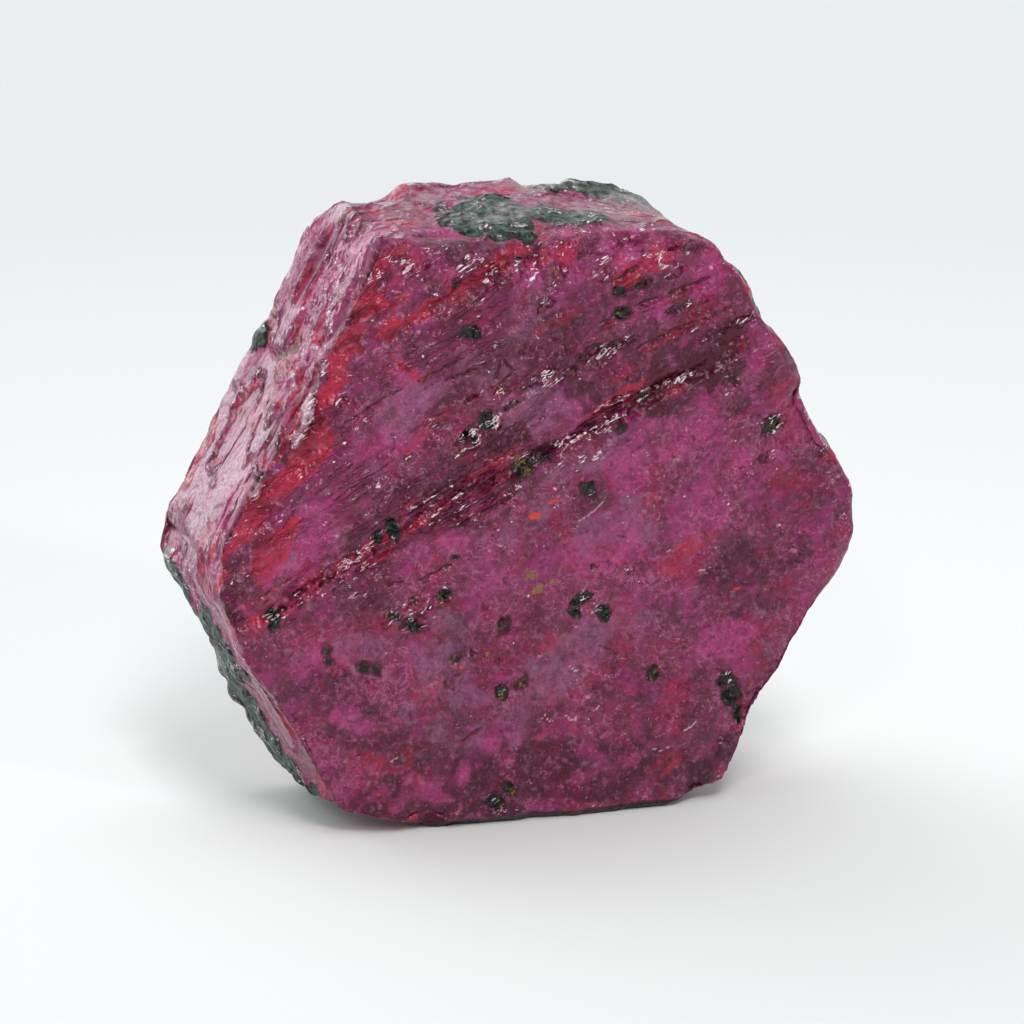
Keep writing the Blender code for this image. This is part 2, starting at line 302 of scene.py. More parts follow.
@dataclass
class CrystalHabit:
    """The tabular hexagonal habit: how far each face lies from the prism axis."""

    apothem: float = 16.5
    front_depth: float = 5.5
    back_depth: float = 5.9
    axis_height: float = 16.0
    block_side: float = 60.0

    def faces(self) -> tuple[CrystalFace, ...]:
        """Return every face, prism faces first named by where they look."""
        apothem = self.apothem
        rows = (
            ("front", 0, 90, self.front_depth),
            ("back", 0, -90, self.back_depth),
            ("top", 88.0, 3.0, apothem + 0.5),
            ("upper_right", 27.6, -1.5, apothem + 0.05),
            ("lower_right", -29.5, 0, apothem + 0.25),
            ("bottom", -90, 0, apothem - 0.25),
            ("lower_left", 208.2, 0, apothem + 0.25),
            ("upper_left", 150.3, 0, apothem - 0.9),
            ("sole_left", 255.2, 0, apothem + 0.3),
            ("sole_right", -66, 0, apothem + 1.45),
            ("right_tip", 6, 0, apothem + 1.7),
            ("left_tip", 180, 2, apothem + 1.4),
            ("top_margin", 88, 50, apothem - 2.1),
            ("upper_left_margin", 149, 64, apothem - 5.5),
            ("top_right", 60.7, 0, apothem + 2.1),
            ("back_top_bevel", 90, -45, apothem - 1.6),
            ("back_left_bevel", 152, -58, apothem - 3.2),
            ("back_right_bevel", 20, -52, apothem - 2.4),
            ("back_bottom_bevel", -84, -50, apothem - 2.9),
            ("front_bottom_bevel", -91, 40, apothem - 1.05),
        )
        return tuple(CrystalFace(*row) for row in rows)

    def middle(self) -> np.ndarray:
        """Return the point that every face's reach is measured from."""
        return np.array([0.0, 0.0, self.axis_height])

    def outward(self, name: str) -> np.ndarray:
        """Return the way that the named face looks.

        Args:
            name: the face's name.

        Returns:
            Its outward direction, of length 1.
        """
        return next(face for face in self.faces() if face.name == name).outward()

    def edge_distance(self, points: np.ndarray) -> np.ndarray:
        """Measure how far points lie from the nearest edge between two faces.

        Args:
            points: points on or near the crystal's faces.

        Returns:
            One distance for each point.
        """
        offset = points - self.middle()
        depths = np.array([face.reach - offset @ face.outward() for face in self.faces()])
        return np.sort(np.abs(depths), axis=0)[1]

    def block(self) -> bpy.types.Mesh:
        """Cut a block by every face.

        Returns:
            The bare prism with its bevels, in millimetres.
        """
        bm = bmesh.new()
        bmesh.ops.create_cube(bm, size=self.block_side)
        bmesh.ops.translate(bm, verts=bm.verts, vec=Vector(self.middle()))
        for face in self.faces():
            cut_away(bm, self.middle() + face.outward() * face.reach, face.outward())
        bmesh.ops.recalc_face_normals(bm, faces=bm.faces)
        mesh = bpy.data.meshes.new("block")
        bm.to_mesh(mesh)
        bm.free()
        return mesh


def cut_away(bm: bmesh.types.BMesh, point: np.ndarray, normal: np.ndarray) -> None:
    """Cut off what lies beyond a plane and close the cut.

    Args:
        bm: the mesh to cut.
        point: a point on the plane.
        normal: the side that is cut off.
    """
    everything = bm.verts[:] + bm.edges[:] + bm.faces[:]
    cut = bmesh.ops.bisect_plane(
        bm, geom=everything, plane_co=Vector(point), plane_no=Vector(normal), clear_outer=True, dist=1e-5
    )
    rim = [item for item in cut["geom_cut"] if isinstance(item, bmesh.types.BMEdge)]
    if rim:
        bmesh.ops.contextual_create(bm, geom=rim)


# ---- Features ----


@dataclass(frozen=True)
class Spot:
    """A round feature: where it is, its radius and how far it stands out, or in when below zero."""

    x: float
    y: float
    z: float
    radius: float
    height: float

    def away(self, points: np.ndarray) -> np.ndarray:
        """Return how far each point lies from the spot's middle, 1 at its rim."""
        return np.linalg.norm(points - np.array([self.x, self.y, self.z]), axis=1) / self.radius


def spots(*rows: tuple) -> tuple[Spot, ...]:
    """Make one spot from each row of its X, Y, Z, radius and height."""
    return tuple(Spot(*row) for row in rows)


@dataclass(frozen=True)
class Gash:
    """A narrow groove in the front face along a line of corners, with a lip that catches light below it.

    Attributes:
        line: its corners, as X and Z.
        width: half its width.
        depth: how deep it is.
        lip: how high its lower lip stands.
        crimson: how strongly deep red shows in it.
    """

    line: tuple
    width: float
    depth: float
    lip: float = 0.0
    crimson: float = 0.0


@dataclass(frozen=True)
class Zone:
    """An oval part of the front face.

    Attributes:
        x: across.
        z: up.
        length: half its length.
        width: half its width.
        turn: how its length is turned from level, in degrees.
    """

    x: float
    z: float
    length: float
    width: float
    turn: float

    def away(self, points: np.ndarray) -> np.ndarray:
        """Return how far each point lies from the middle, 1 at the rim."""
        along, across = turned(points, self.x, self.z, math.radians(self.turn))
        return np.sqrt((along / self.length) ** 2 + (across / self.width) ** 2)


@dataclass(frozen=True)
class Patch(Zone):
    """A soft-edged patch of another colour with no relief of its own, and how strongly it shows."""

    strength: float = 1.0

    def share(self, points: np.ndarray, raggedness: float) -> np.ndarray:
        """Tell how far each point belongs to the patch.

        Args:
            points: one row of three for each point.
            raggedness: how far its rim wanders, as a share of its size.

        Returns:
            One share from 0 to 1 for each point.
        """
        size = min(self.length, self.width)
        away = self.away(points) + raggedness * noise(points, size * 0.8, 171)
        return self.strength * (1.0 - ramp(away, 0.65, 1.15))


@dataclass(frozen=True)
class Rubble(Zone):
    """A small zone torn into steps and tiny facets: how much of it carries gloss and painted glints, and how much
    painted crevice shade with dark grains.
    """

    bright: float = 1.0
    dark: float = 0.8

    def share(self, points: np.ndarray, wander: np.ndarray) -> np.ndarray:
        """Tell how far each point belongs to the zone, with its rim pushed in or out by a share of its size."""
        return 1.0 - ramp(self.away(points) + wander, 0.6, 1.3)


@dataclass
class GeneralWear:
    """Swells and lumps of every face, and worn, chipped edges."""

    swell_height: float = 0.24
    swell_length: float = 8.5
    lump_height: float = 0.10
    lump_length: float = 3.0
    wear_depth: float = 0.30
    wear_width: float = 0.80
    chip_length: float = 3.1
    grit_height: float = 0.035
    grit_length: float = 0.55
    outline_spots: tuple[Spot, ...] = spots(
        (12.4, -5.4, 5.1, 1.5, -0.55), (14.3, -4.6, 25.0, 2.2, 0.5), (17.2, -4.8, 12.9, 1.8, 0.3),
        (-16.6, -4.6, 9.8, 1.9, 0.75), (-13.2, -4.8, 6.0, 1.8, -0.4), (-18.0, -4.8, 16.2, 1.2, -0.4),
        (-11.4, -4.6, 1.6, 1.4, -0.35), (-7.0, -4.4, 31.9, 1.1, 0.3), (-8.2, 5.0, 32.2, 2.0, 0.45),
        (-12.2, -3.6, 3.4, 1.4, -0.2), (9.8, -4.6, 31.6, 1.6, 0.3), (9.0, -4.9, 0.9, 1.6, -0.25),
        (-5.0, 4.4, 33.2, 1.8, 0.55), (-1.2, 4.4, 33.2, 2.6, 0.8), (3.0, 4.4, 33.2, 2.8, 0.85),
    )

    def apply(self, surface: Surface) -> None:
        """Add the broad relief and the wear.

        Args:
            surface: the surface to work on.
        """
        points = surface.points
        surface.height += self.swell_height * noise(points, self.swell_length, 3)
        surface.height += self.lump_height * noise(points, self.lump_length, 5)
        surface.height += self.grit_height * noise(points, self.grit_length, 6)
        near = np.exp(-surface.edges / self.wear_width)
        chips = 2.2 * ramp(noise(points, self.chip_length, 11), 0.25, 0.75)
        crumble = 0.35 * noise(points, 1.5, 12) + 0.25 * noise(points, 0.6, 13)
        surface.height -= self.wear_depth * near * (0.45 + chips + crumble)
        for spot in self.outline_spots:
            surface.height += spot.height * np.exp(-(spot.away(points) ** 2))
        # gloss and painted glints along the worn edges
        surface.mark(Mask.FRESH_STEPS_AND_PAINTED_GLINTS, 0.5 * near * ramp(noise(points, 0.9, 14), -0.1, 0.5))


@dataclass
class BasalFace:
    """One of the two big faces, with the growth ledges and the torn growth streaks that both have.

    Attributes:
        surface: the surface to work on.
        outward: the way that the face looks.
        groove_depth: how deep the groove of a ledge is.
        groove_width: how wide it is.
        rim_height: how high the ground stands below it.
        rim_fade: how far that ground takes to fade away.
        streak_angle: how the streaks slant, in degrees.
        streak_height: how high their steps are.
        streak_gap: how far apart these lie.
        streak_low: how high up the face they start.
        streak_high: from where they are strongest.
    """

    surface: Surface
    outward: tuple = (0.0, -1.0, 0.0)
    groove_depth: float = 0.34
    groove_width: float = 0.34
    rim_height: float = 0.26
    rim_fade: float = 5.0
    streak_angle: float = 31.0
    streak_height: float = 0.11
    streak_gap: float = 1.15
    streak_low: float = 12.0
    streak_high: float = 18.0
    here: np.ndarray = field(init=False)

    def __post_init__(self) -> None:
        """Find the points that belong to the face."""
        self.here = self.surface.facing(np.array(self.outward), 0.55, 0.85)

    def ledge_relief(self, line: tuple, strength: float) -> np.ndarray:
        """Make a groove along a line, and ground that starts high below it and fades away.

        Args:
            line: the line's corners, as X and Z.
            strength: how strong the ledge is, 1 for the main one.

        Returns:
            The height to add at each point.
        """
        points = self.surface.points
        distance, run = along_line(points[:, (0, 2)], line)
        distance = distance + 0.22 * noise(points, 1.8, 21) + 0.06 * noise(points, 0.5, 23)
        ends = ramp(run, 0.0, 0.06) * (1.0 - ramp(run, 0.93, 1.0))
        groove = np.exp(-(((distance + self.groove_width) / self.groove_width) ** 2))
        groove = groove * (0.55 + 0.75 * noise(points, 2.6, 22))
        rim = ramp(distance, 0.0, 0.3) * np.exp(-np.maximum(distance, 0.0) / self.rim_fade)
        return strength * ends * (self.rim_height * rim - self.groove_depth * groove)

    def streak_frame(self, points: np.ndarray) -> np.ndarray:
        """Turn points so that their first axis runs along the growth streaks.

        Args:
            points: one row of three for each point.

        Returns:
            The turned points: along, depth, across.
        """
        along, across = turned(points, 0.0, 0.0, math.radians(self.streak_angle))
        return np.stack([along, points[:, 1], across], axis=1)

    def add_streaks(self) -> None:
        """Add low torn growth steps and fine streaks that run along the face's slant, with painted shade in the drops
        of the steps and gloss with painted glints on their lips.
        """
        surface, here, points = self.surface, self.here, self.surface.points
        slanted = self.streak_frame(points)
        stretched = slanted / np.array([4.5, 1.0, 1.0])
        field_value = slanted[:, 2] / self.streak_gap + 1.5 * noise(points, 5.5, 71) + 0.5 * noise(points, 1.6, 72)
        part = field_value - np.floor(field_value)
        drop = 1.0 - ramp(part, 0.0, 0.22)
        upper = ramp(slanted[:, 2] + 2.4 * noise(points, 4.2, 73), self.streak_low, self.streak_high)
        zone = upper * (0.25 + 0.75 * ramp(noise(points, 3.0, 77), -0.2, 0.4))
        surface.height += self.streak_height * (0.15 + zone) * (ramp(part, 0.0, 0.2) - 0.8 * part)
        surface.height += 0.022 * zone * ridges(stretched, 0.55, 74)
        surface.height += 0.008 * zone * ridges(slanted / np.array([2.4, 1.0, 1.0]), 0.3, 75)
        surface.height += 0.035 * noise(points, 1.1, 78)
        surface.mark(Mask.STREAK, here * zone)
        # painted shade in the drops of the steps; gloss and painted glints on their lips
        surface.mark(Mask.CREVICE_SHADE_AND_WINE, here * 0.55 * zone * drop * ramp(noise(points, 1.1, 76), -0.1, 0.5))
        surface.mark(Mask.FRESH_STEPS_AND_PAINTED_GLINTS, here * 0.35 * zone * ramp(part, 0.1, 0.3) * (1.0 - ramp(part, 0.3, 0.6)))


@dataclass
class FrontFace(BasalFace):
    """The big basal face: its diagonal ledge, striations, torn growth streaks, gashes, grains and colour zones."""

    ledge: tuple = (
        (-16.6, 12.1), (-13.5, 14.2), (-8.0, 17.4), (-0.5, 20.2), (3.5, 21.8), (9.2, 24.3), (12.0, 25.7),
    )
    left_edge: tuple = (
        (-18.2, 14.7), (-16.9, 17.3), (-15.8, 19.5), (-14.5, 20.9), (-13.1, 23.1), (-11.6, 26.4), (-10.2, 29.3),
        (-8.8, 31.6), (-7.8, 32.6),
    )
    upper_ledge: tuple = ((-10.6, 26.6), (-6.4, 28.7), (-3.3, 29.9), (-0.3, 32.2))
    lower_step: tuple = ((-6.0, 12.6), (-2.6, 9.6), (-1.0, 8.4))
    right_step: tuple = ((5.2, 9.6), (9.4, 6.0), (11.0, 5.4))
    grain_turn: float = 2.4
    grain_length: float = 1.2
    grain_width: float = 0.85
    buried: float = 0.11
    patch_raggedness: float = 0.80
    margin_low: float = 29.6
    margin_high: float = 31.6
    fibre_width: float = 0.075
    glow_width: float = 1.35

    def gashes(self) -> tuple[Gash, ...]:
        """Return the grooves and cracks, named in the comments by where they lie."""
        rows = (
            # dark cut of the ledge at the left, then at the right below the dark red zone
            (((-15.6, 13.0), (-13.4, 14.1), (-10.7, 15.4), (-8.1, 16.8)), 0.2, 0.3, 0.16, 0.8),
            (((0.3, 20.6), (2.8, 22.2), (5.2, 23.4), (7.4, 24.3), (8.4, 24.7)), 0.2, 0.34, 0.2, 0.7),
            (((2.3, 21.5), (4.4, 22.3), (6.0, 22.8)), 0.12, 0.16, 0.1, 0.0),
            # five striations in the middle of the ledge
            (((-7.8, 18.4), (-3.9, 20.3)), 0.17, 0.26, 0.12, 0.3),
            (((-7.0, 17.8), (-5.2, 18.7), (-1.9, 20.4)), 0.13, 0.22, 0.12, 0.3),
            (((-6.4, 17.5), (-3.5, 18.9), (-1.5, 20.0)), 0.12, 0.2, 0.12, 0.3),
            (((-5.4, 17.4), (-2.3, 18.7), (-0.7, 19.5)), 0.12, 0.2, 0.1, 0.3),
            (((-4.4, 17.3), (-1.1, 18.7)), 0.11, 0.16, 0.08, 0.3),
            # fine red cut that runs into the ledge from the left tip
            (((-16.7, 13.6), (-14.6, 14.6), (-12.9, 15.7)), 0.1, 0.12, 0.05, 0.9),
            # gashes under the striations
            (((-9.1, 12.3), (-7.4, 13.0), (-4.9, 13.5)), 0.22, 0.3, 0.12, 0.1),
            (((-7.9, 11.7), (-6.2, 12.3)), 0.2, 0.26, 0.08, 0.0),
            (((-6.8, 14.3), (-4.7, 15.2)), 0.1, 0.12, 0.05, 0.3), (((-8.8, 14.3), (-7.4, 14.4)), 0.1, 0.1, 0.05, 0.3),
            # gashes over the striations
            (((-5.0, 21.3), (-3.5, 22.8)), 0.2, 0.24, 0.12, 0.3),
            (((-3.1, 20.9), (-1.4, 21.4)), 0.22, 0.22, 0.1, 0.0),
            (((-6.0, 23.3), (-3.1, 24.4)), 0.09, 0.1, 0.04, 0.4),
            (((-5.0, 23.7), (-3.2, 24.5)), 0.09, 0.12, 0.04, 0.4),
            (((-5.8, 25.1), (-4.2, 25.7), (-3.3, 26.0)), 0.12, 0.12, 0.06, 0.6),
            (((-10.9, 23.4), (-7.8, 25.0), (-3.9, 26.6)), 0.08, 0.07, 0.03, 0.3),
            (((-13.5, 18.1), (-10.1, 20.0), (-6.7, 21.9)), 0.08, 0.06, 0.03, 0.3),
            # growth figure and cracks of the upper middle
            (((-2.0, 26.3), (-1.1, 25.6), (-2.2, 25.0)), 0.11, 0.14, 0.05, 0.5),
            (((-2.2, 25.0), (-2.0, 26.3)), 0.1, 0.12, 0.04, 0.5),
            (((0.2, 30.1), (0.2, 28.3), (0.1, 27.2)), 0.09, 0.1, 0.04, 0.3),
            # torn steps of the upper right
            (((4.3, 30.0), (6.7, 31.1), (8.3, 31.8)), 0.18, 0.16, 0.1, 0.8),
            (((3.4, 27.7), (6.8, 28.9), (10.3, 29.9)), 0.14, 0.14, 0.08, 0.4),
            (((5.7, 26.1), (8.6, 27.3), (11.5, 28.1)), 0.16, 0.15, 0.08, 0.6),
            (((10.4, 27.0), (11.8, 27.3)), 0.14, 0.18, 0.12, 0.2),
            # seams of the lower right
            (((6.7, 6.3), (9.3, 5.0)), 0.1, 0.12, 0.05, 0.2), (((10.4, 7.7), (11.9, 6.8)), 0.12, 0.12, 0.05, 0.1),
            (((3.5, 9.8), (6.7, 7.9)), 0.09, 0.07, 0.03, 0.2),
            # small ticks of the lower left and middle
            (((-4.8, 4.7), (-2.9, 5.8), (-1.6, 6.4)), 0.09, 0.09, 0.03, 0.8),
            (((-6.3, 8.1), (-5.6, 8.8)), 0.1, 0.12, 0.04, 0.5), (((-4.8, 8.8), (-4.3, 8.9)), 0.1, 0.1, 0.03, 0.0),
            (((-5.3, 7.9), (-4.6, 8.1)), 0.09, 0.1, 0.03, 0.0),
            (((4.4, 8.1), (4.8, 8.0), (5.2, 8.3)), 0.08, 0.08, 0.02, 0.3),
        )
        return tuple(Gash(*row) for row in rows)

    def rubble(self) -> tuple[Rubble, ...]:
        """Return the torn zones, from the top of the face down."""
        rows = (
            (-7.2, 31.6, 0.6, 0.3, -75, 1.0, 0.2), (-6.1, 31.8, 0.5, 0.24, -70, 1.0, 0.3),
            (-3.5, 32.0, 0.8, 0.24, 8, 0.9, 0.4), (0.7, 29.2, 0.5, 0.36, -18), (1.7, 30.8, 0.5, 0.22, -83),
            (3.7, 30.5, 0.6, 0.33, -29), (5.6, 32.2, 0.9, 0.33, 5, 1.0, 0.4), (4.0, 26.3, 1.7, 0.44, 17),
            (1.0, 25.0, 1.7, 0.5, 14), (-2.0, 24.4, 0.5, 0.33, 32), (-1.6, 23.6, 0.9, 0.25, 20, 0.9),
            (-2.3, 22.8, 0.6, 0.44, 34), (-3.7, 22.0, 1.1, 0.5, 28), (-0.4, 20.4, 0.8, 0.56, 20),
            (1.5, 21.1, 1.0, 0.44, 20, 1.0, 0.6), (3.7, 22.0, 2.1, 0.35, 21, 1.0, 0.6),
            (4.4, 23.3, 1.4, 0.24, 19, 0.8), (7.1, 23.8, 1.6, 0.33, 22, 0.8), (8.8, 24.4, 0.8, 0.3, 18, 1.0, 0.5),
            (5.8, 29.6, 0.8, 0.28, 20), (7.8, 30.3, 0.8, 0.26, 11), (8.6, 28.3, 1.3, 0.24, 16, 0.8),
            (11.8, 27.3, 0.6, 0.22, 12, 1.0, 0.3), (13.6, 21.2, 0.8, 0.6, 34), (13.2, 19.4, 0.9, 0.4, 20, 0.7),
            (16.6, 19.6, 0.9, 0.44, -54, 0.7), (-14.6, 13.1, 0.8, 0.36, 20), (-11.6, 15.2, 2.2, 0.34, 27, 0.9, 0.5),
            (-9.6, 16.2, 1.0, 0.44, 20, 1.0, 0.6), (-5.4, 18.2, 2.2, 0.6, 27, 0.6, 0.2),
            (-7.2, 12.9, 2.2, 0.5, 14, 0.6, 1.0), (-1.8, 11.6, 0.4, 0.28, 42, 0.4, 1.0),
            (11.6, 6.2, 0.8, 0.5, -64, 0.7, 1.0), (-2.2, 1.3, 0.6, 0.44, 13, 0.6, 1.0),
            (-3.5, 9.9, 0.8, 0.39, -27, 0.5, 0.6), (-5.6, 8.7, 1.2, 0.67, -19, 0.3, 0.6),
            (-0.8, 27.3, 1.2, 1.1, 35, 0.2, 0.5), (-2.0, 15.8, 0.5, 0.25, -78, 0.3, 1.0),
            (3.4, 14.1, 0.4, 0.28, -23, 0.4, 0.7), (5.4, 14.0, 0.4, 0.4, 11, 0.4, 0.6),
            (2.4, 20.3, 2.6, 0.7, 10, 0.4, 0.2), (9.5, 16.6, 0.7, 0.25, 25, 0.3, 0.8),
            (8.4, 18.6, 0.5, 0.35, 0, 0.3, 0.6),
        )
        return tuple(Rubble(*row) for row in rows)

    def grains(self) -> tuple[Spot, ...]:
        """Return the dark amphibole grains set in the face."""
        return spots(
            (-3.7, -5.5, 27.9, 0.5, -0.13), (2.9, -5.5, 18.7, 0.58, 0.14), (-2.8, -5.5, 22.9, 0.62, -0.12),
            (-3.7, -5.5, 22.1, 0.5, -0.1), (-0.6, -5.5, 20.1, 0.62, -0.14), (0.5, -5.5, 20.6, 0.45, -0.1),
            (-8.0, -5.5, 17.3, 0.5, -0.16), (-8.9, -5.5, 17.0, 0.36, -0.14), (2.7, -5.5, 12.5, 0.52, -0.14),
            (2.3, -5.5, 11.6, 0.36, -0.14), (3.9, -5.5, 11.6, 0.44, 0.1), (-1.8, -5.5, 11.3, 0.5, -0.1),
            (-5.3, -5.5, 13.4, 0.46, -0.12), (-8.2, -5.5, 12.5, 0.4, -0.12), (-7.0, -5.5, 11.9, 0.4, -0.14),
            (-14.8, -5.4, 12.9, 0.46, -0.22), (-11.8, -5.5, 10.9, 0.34, -0.05), (-11.7, -5.5, 10.3, 0.3, -0.05),
            (-9.8, -5.5, 9.8, 0.42, -0.05), (-9.1, -5.5, 9.7, 0.4, -0.05), (13.4, -5.4, 21.2, 0.6, 0.18),
            (11.0, -5.4, 7.0, 0.55, -0.14), (11.3, -5.4, 6.0, 0.6, -0.2), (11.9, -5.2, 5.0, 0.5, -0.2),
            (6.8, -5.5, 7.8, 0.42, -0.12), (5.0, -5.5, 28.2, 0.46, -0.12), (4.8, -5.5, 29.5, 0.34, -0.12),
            (-1.9, -5.5, 7.6, 0.46, 0.06), (-0.7, -5.5, 7.9, 0.5, -0.1), (-4.6, -5.5, 9.8, 0.34, -0.08),
            (-2.2, -5.5, 1.3, 0.6, -0.22), (-1.5, -5.5, 2.0, 0.36, -0.12), (-4.4, -5.5, 30.6, 0.32, -0.05),
            (4.9, -5.5, 22.0, 0.36, -0.05), (-4.6, -5.5, 15.5, 0.26, 0.04), (11.4, -5.4, 24.0, 0.34, -0.1),
            (18.0, -4.6, 13.9, 0.4, 0.3),
        )

    def patches(self) -> dict[Mask, tuple[tuple, ...]]:
        """Return the soft colour patches of the face by what they mark, each as a patch's fields in order."""
        return {
            # growth band under the top edge, glow inside the left bevel and single red zones
            Mask.CRIMSON: (
                (-7.6, 28.6, 2.8, 0.45, 27, 0.9), (-4.4, 30.1, 2.2, 0.45, 30, 0.9), (-1.5, 32.0, 1.7, 0.5, 30, 1.0),
                (-8.6, 29.8, 1.5, 0.4, 24, 0.9), (-7.4, 26.3, 1.8, 0.22, -40, 0.8), (1.3, 31.9, 1.2, 0.7, 10, 0.6),
                (6.4, 30.9, 2.6, 0.6, 27, 0.6), (9.4, 25.0, 3.2, 1.0, 22, 0.35), (5.2, 23.5, 2.6, 0.6, 24, 0.55),
                (-10.0, 15.9, 3.8, 0.5, 27, 0.6), (-3.5, 19.7, 3.4, 0.7, 26, 0.2), (11.4, 26.0, 0.8, 0.5, -50, 0.8),
                (-15.2, 16.2, 2.4, 1.2, 38, 0.75), (-13.6, 14.2, 2.4, 0.9, 30, 0.6), (-12.8, 21.8, 2.0, 0.8, 60, 0.6),
                (8.0, 14.2, 1.2, 0.8, 20, 0.25), (-8.0, 3.6, 2.6, 1.0, -10, 0.35), (7.5, 2.2, 1.8, 1.2, 70, 0.3),
            ),
            # lilac and greyish haze: partly milky silk in the stone, partly painted sheen of the bright surroundings
            Mask.HAZE_AND_PAINTED_SHEEN: (
                (4.6, 16.3, 2.6, 1.6, 30, 0.7), (2.7, 20.2, 2.8, 0.9, 20, 0.7), (-0.1, 23.4, 2.2, 1.2, 20, 1.0),
                (-11.5, 20.3, 2.6, 1.3, 35, 0.6), (-8.4, 19.2, 3.2, 1.4, 25, 0.6), (-6.5, 24.6, 3.0, 1.4, 30, 0.7),
                (2.2, 9.2, 3.4, 2.0, 20, 0.8), (-1.0, 16.9, 3.4, 1.0, 24, 0.6), (-5.6, 9.4, 3.6, 1.8, -10, 0.7),
                (-1.4, 6.2, 4.0, 1.4, 16, 0.6), (-7.4, 11.0, 3.4, 1.4, 10, 0.6), (6.4, 10.8, 3.0, 1.2, 20, 0.5),
                (-1.2, 27.0, 3.2, 1.8, 34, 0.7),
            ),
            # dark, brownish or greyish zones; the first, long and low, makes the bottom of the face darker, partly
            # painted shade, partly darker stone
            Mask.DUSK_AND_PAINTED_SHADE: (
                (0.0, 2.4, 13.0, 2.0, 2, 0.95), (9.6, 25.2, 4.2, 2.0, 22, 1.0), (5.0, 23.6, 3.6, 1.0, 24, 1.0),
                (-9.4, 16.4, 5.0, 0.8, 27, 0.6), (3.6, 28.4, 4.4, 1.6, 30, 0.6), (-4.8, 24.0, 4.4, 1.2, 30, 0.45),
                (-0.2, 28.6, 3.4, 1.2, 20, 0.5), (7.4, 27.0, 2.8, 1.0, 24, 0.5), (-4.4, 20.4, 5.2, 1.4, 27, 1.0),
                (8.6, 25.5, 3.4, 1.5, 30, 1.0), (-5.4, 19.9, 3.0, 1.6, 28, 0.75), (-5.8, 22.4, 2.6, 0.9, 28, 0.6),
                (-0.6, 26.3, 3.8, 2.0, 34, 0.8), (4.0, 25.4, 3.4, 1.8, 30, 0.75), (13.0, 13.8, 3.0, 1.6, 10, 0.8),
                (12.2, 11.4, 2.4, 1.2, 0, 0.7), (9.4, 12.2, 2.0, 1.4, 30, 0.5), (7.6, 2.6, 1.8, 1.5, 60, 0.8),
                (-7.6, 4.4, 3.2, 1.2, -14, 0.8), (-11.4, 8.0, 3.4, 1.8, -40, 0.7), (-8.4, 5.6, 3.6, 1.4, -30, 0.6),
                (5.6, 5.4, 4.6, 1.6, 8, 0.35), (0.9, 10.0, 3.0, 2.0, 20, 0.5), (-4.0, 10.6, 3.0, 1.0, -30, 0.6),
                (3.6, 6.6, 2.6, 1.3, 10, 0.5), (9.0, 7.0, 1.6, 1.6, 0, 0.6), (-12.2, 13.2, 1.8, 0.6, 30, 0.5),
                (12.6, 22.4, 1.8, 1.4, 0, 0.6),
            ),
            # the darkest wine, over the right end of the ledge, laid with the same colour as the painted crevice
            # shade
            Mask.CREVICE_SHADE_AND_WINE: ((9.2, 25.3, 3.6, 1.4, 24, 0.85),),
            # bright magenta zones
            Mask.MAGENTA: (
                (-11.6, 20.2, 3.8, 1.9, 42, 1.0), (-8.6, 21.8, 2.4, 1.2, 40, 0.7), (-5.6, 26.2, 2.8, 1.5, 34, 0.9),
                (-2.0, 29.2, 2.4, 1.2, 40, 0.7), (-12.6, 16.6, 2.6, 0.9, 34, 0.9), (-4.6, 16.2, 1.1, 0.8, -30, 1.0),
                (1.6, 22.8, 1.7, 1.2, 30, 0.7), (4.2, 15.2, 2.4, 1.5, 20, 0.9), (7.0, 20.6, 4.0, 1.5, 26, 0.8),
                (11.4, 17.6, 3.4, 1.6, 20, 0.7), (10.6, 9.0, 2.4, 1.2, 20, 1.0), (-9.8, 6.6, 1.6, 1.1, 0, 0.9),
                (-6.4, 2.6, 2.8, 1.0, 14, 0.8), (-2.4, 4.4, 3.0, 1.1, 24, 0.6), (4.2, 3.2, 2.2, 1.2, 10, 0.7),
                (-12.4, 10.4, 2.2, 1.0, 30, 0.6), (12.3, 25.8, 1.0, 1.5, 10, 0.8), (9.6, 29.0, 2.6, 1.5, 30, 0.6),
                (-1.6, 14.6, 2.6, 1.4, 20, 0.4),
            ),
            # small flecks of iron stain
            Mask.ORANGE: (
                (-0.1, 17.4, 0.42, 0.25, 8, 1.0), (0.9, 18.1, 0.35, 0.12, 14, 0.9), (11.6, 12.2, 0.4, 0.16, 0, 0.5),
                (1.6, 15.2, 0.1, 0.22, 20, 0.6), (-4.4, 9.3, 0.3, 0.18, 0, 0.5), (6.2, 8.5, 0.22, 0.3, 0, 0.4),
            ),
            # small flecks of olive mineral
            Mask.OLIVE: (
                (0.2, 13.2, 0.5, 0.22, 16, 1.0), (1.0, 13.5, 0.35, 0.25, 0, 1.0), (-0.3, 14.0, 0.5, 0.4, -20, 0.7),
                (-0.9, 20.6, 0.22, 0.3, 60, 0.9), (-4.4, 21.3, 0.3, 0.4, 60, 0.5), (1.2, 30.9, 0.18, 0.42, 0, 0.7),
                (-2.8, 9.8, 0.24, 0.34, 30, 0.6), (4.0, 11.1, 0.3, 0.14, 0, 0.6), (11.8, 24.1, 0.22, 0.4, 0, 0.7),
                (-2.2, 24.6, 0.35, 0.3, 0, 0.6),
            ),
        }

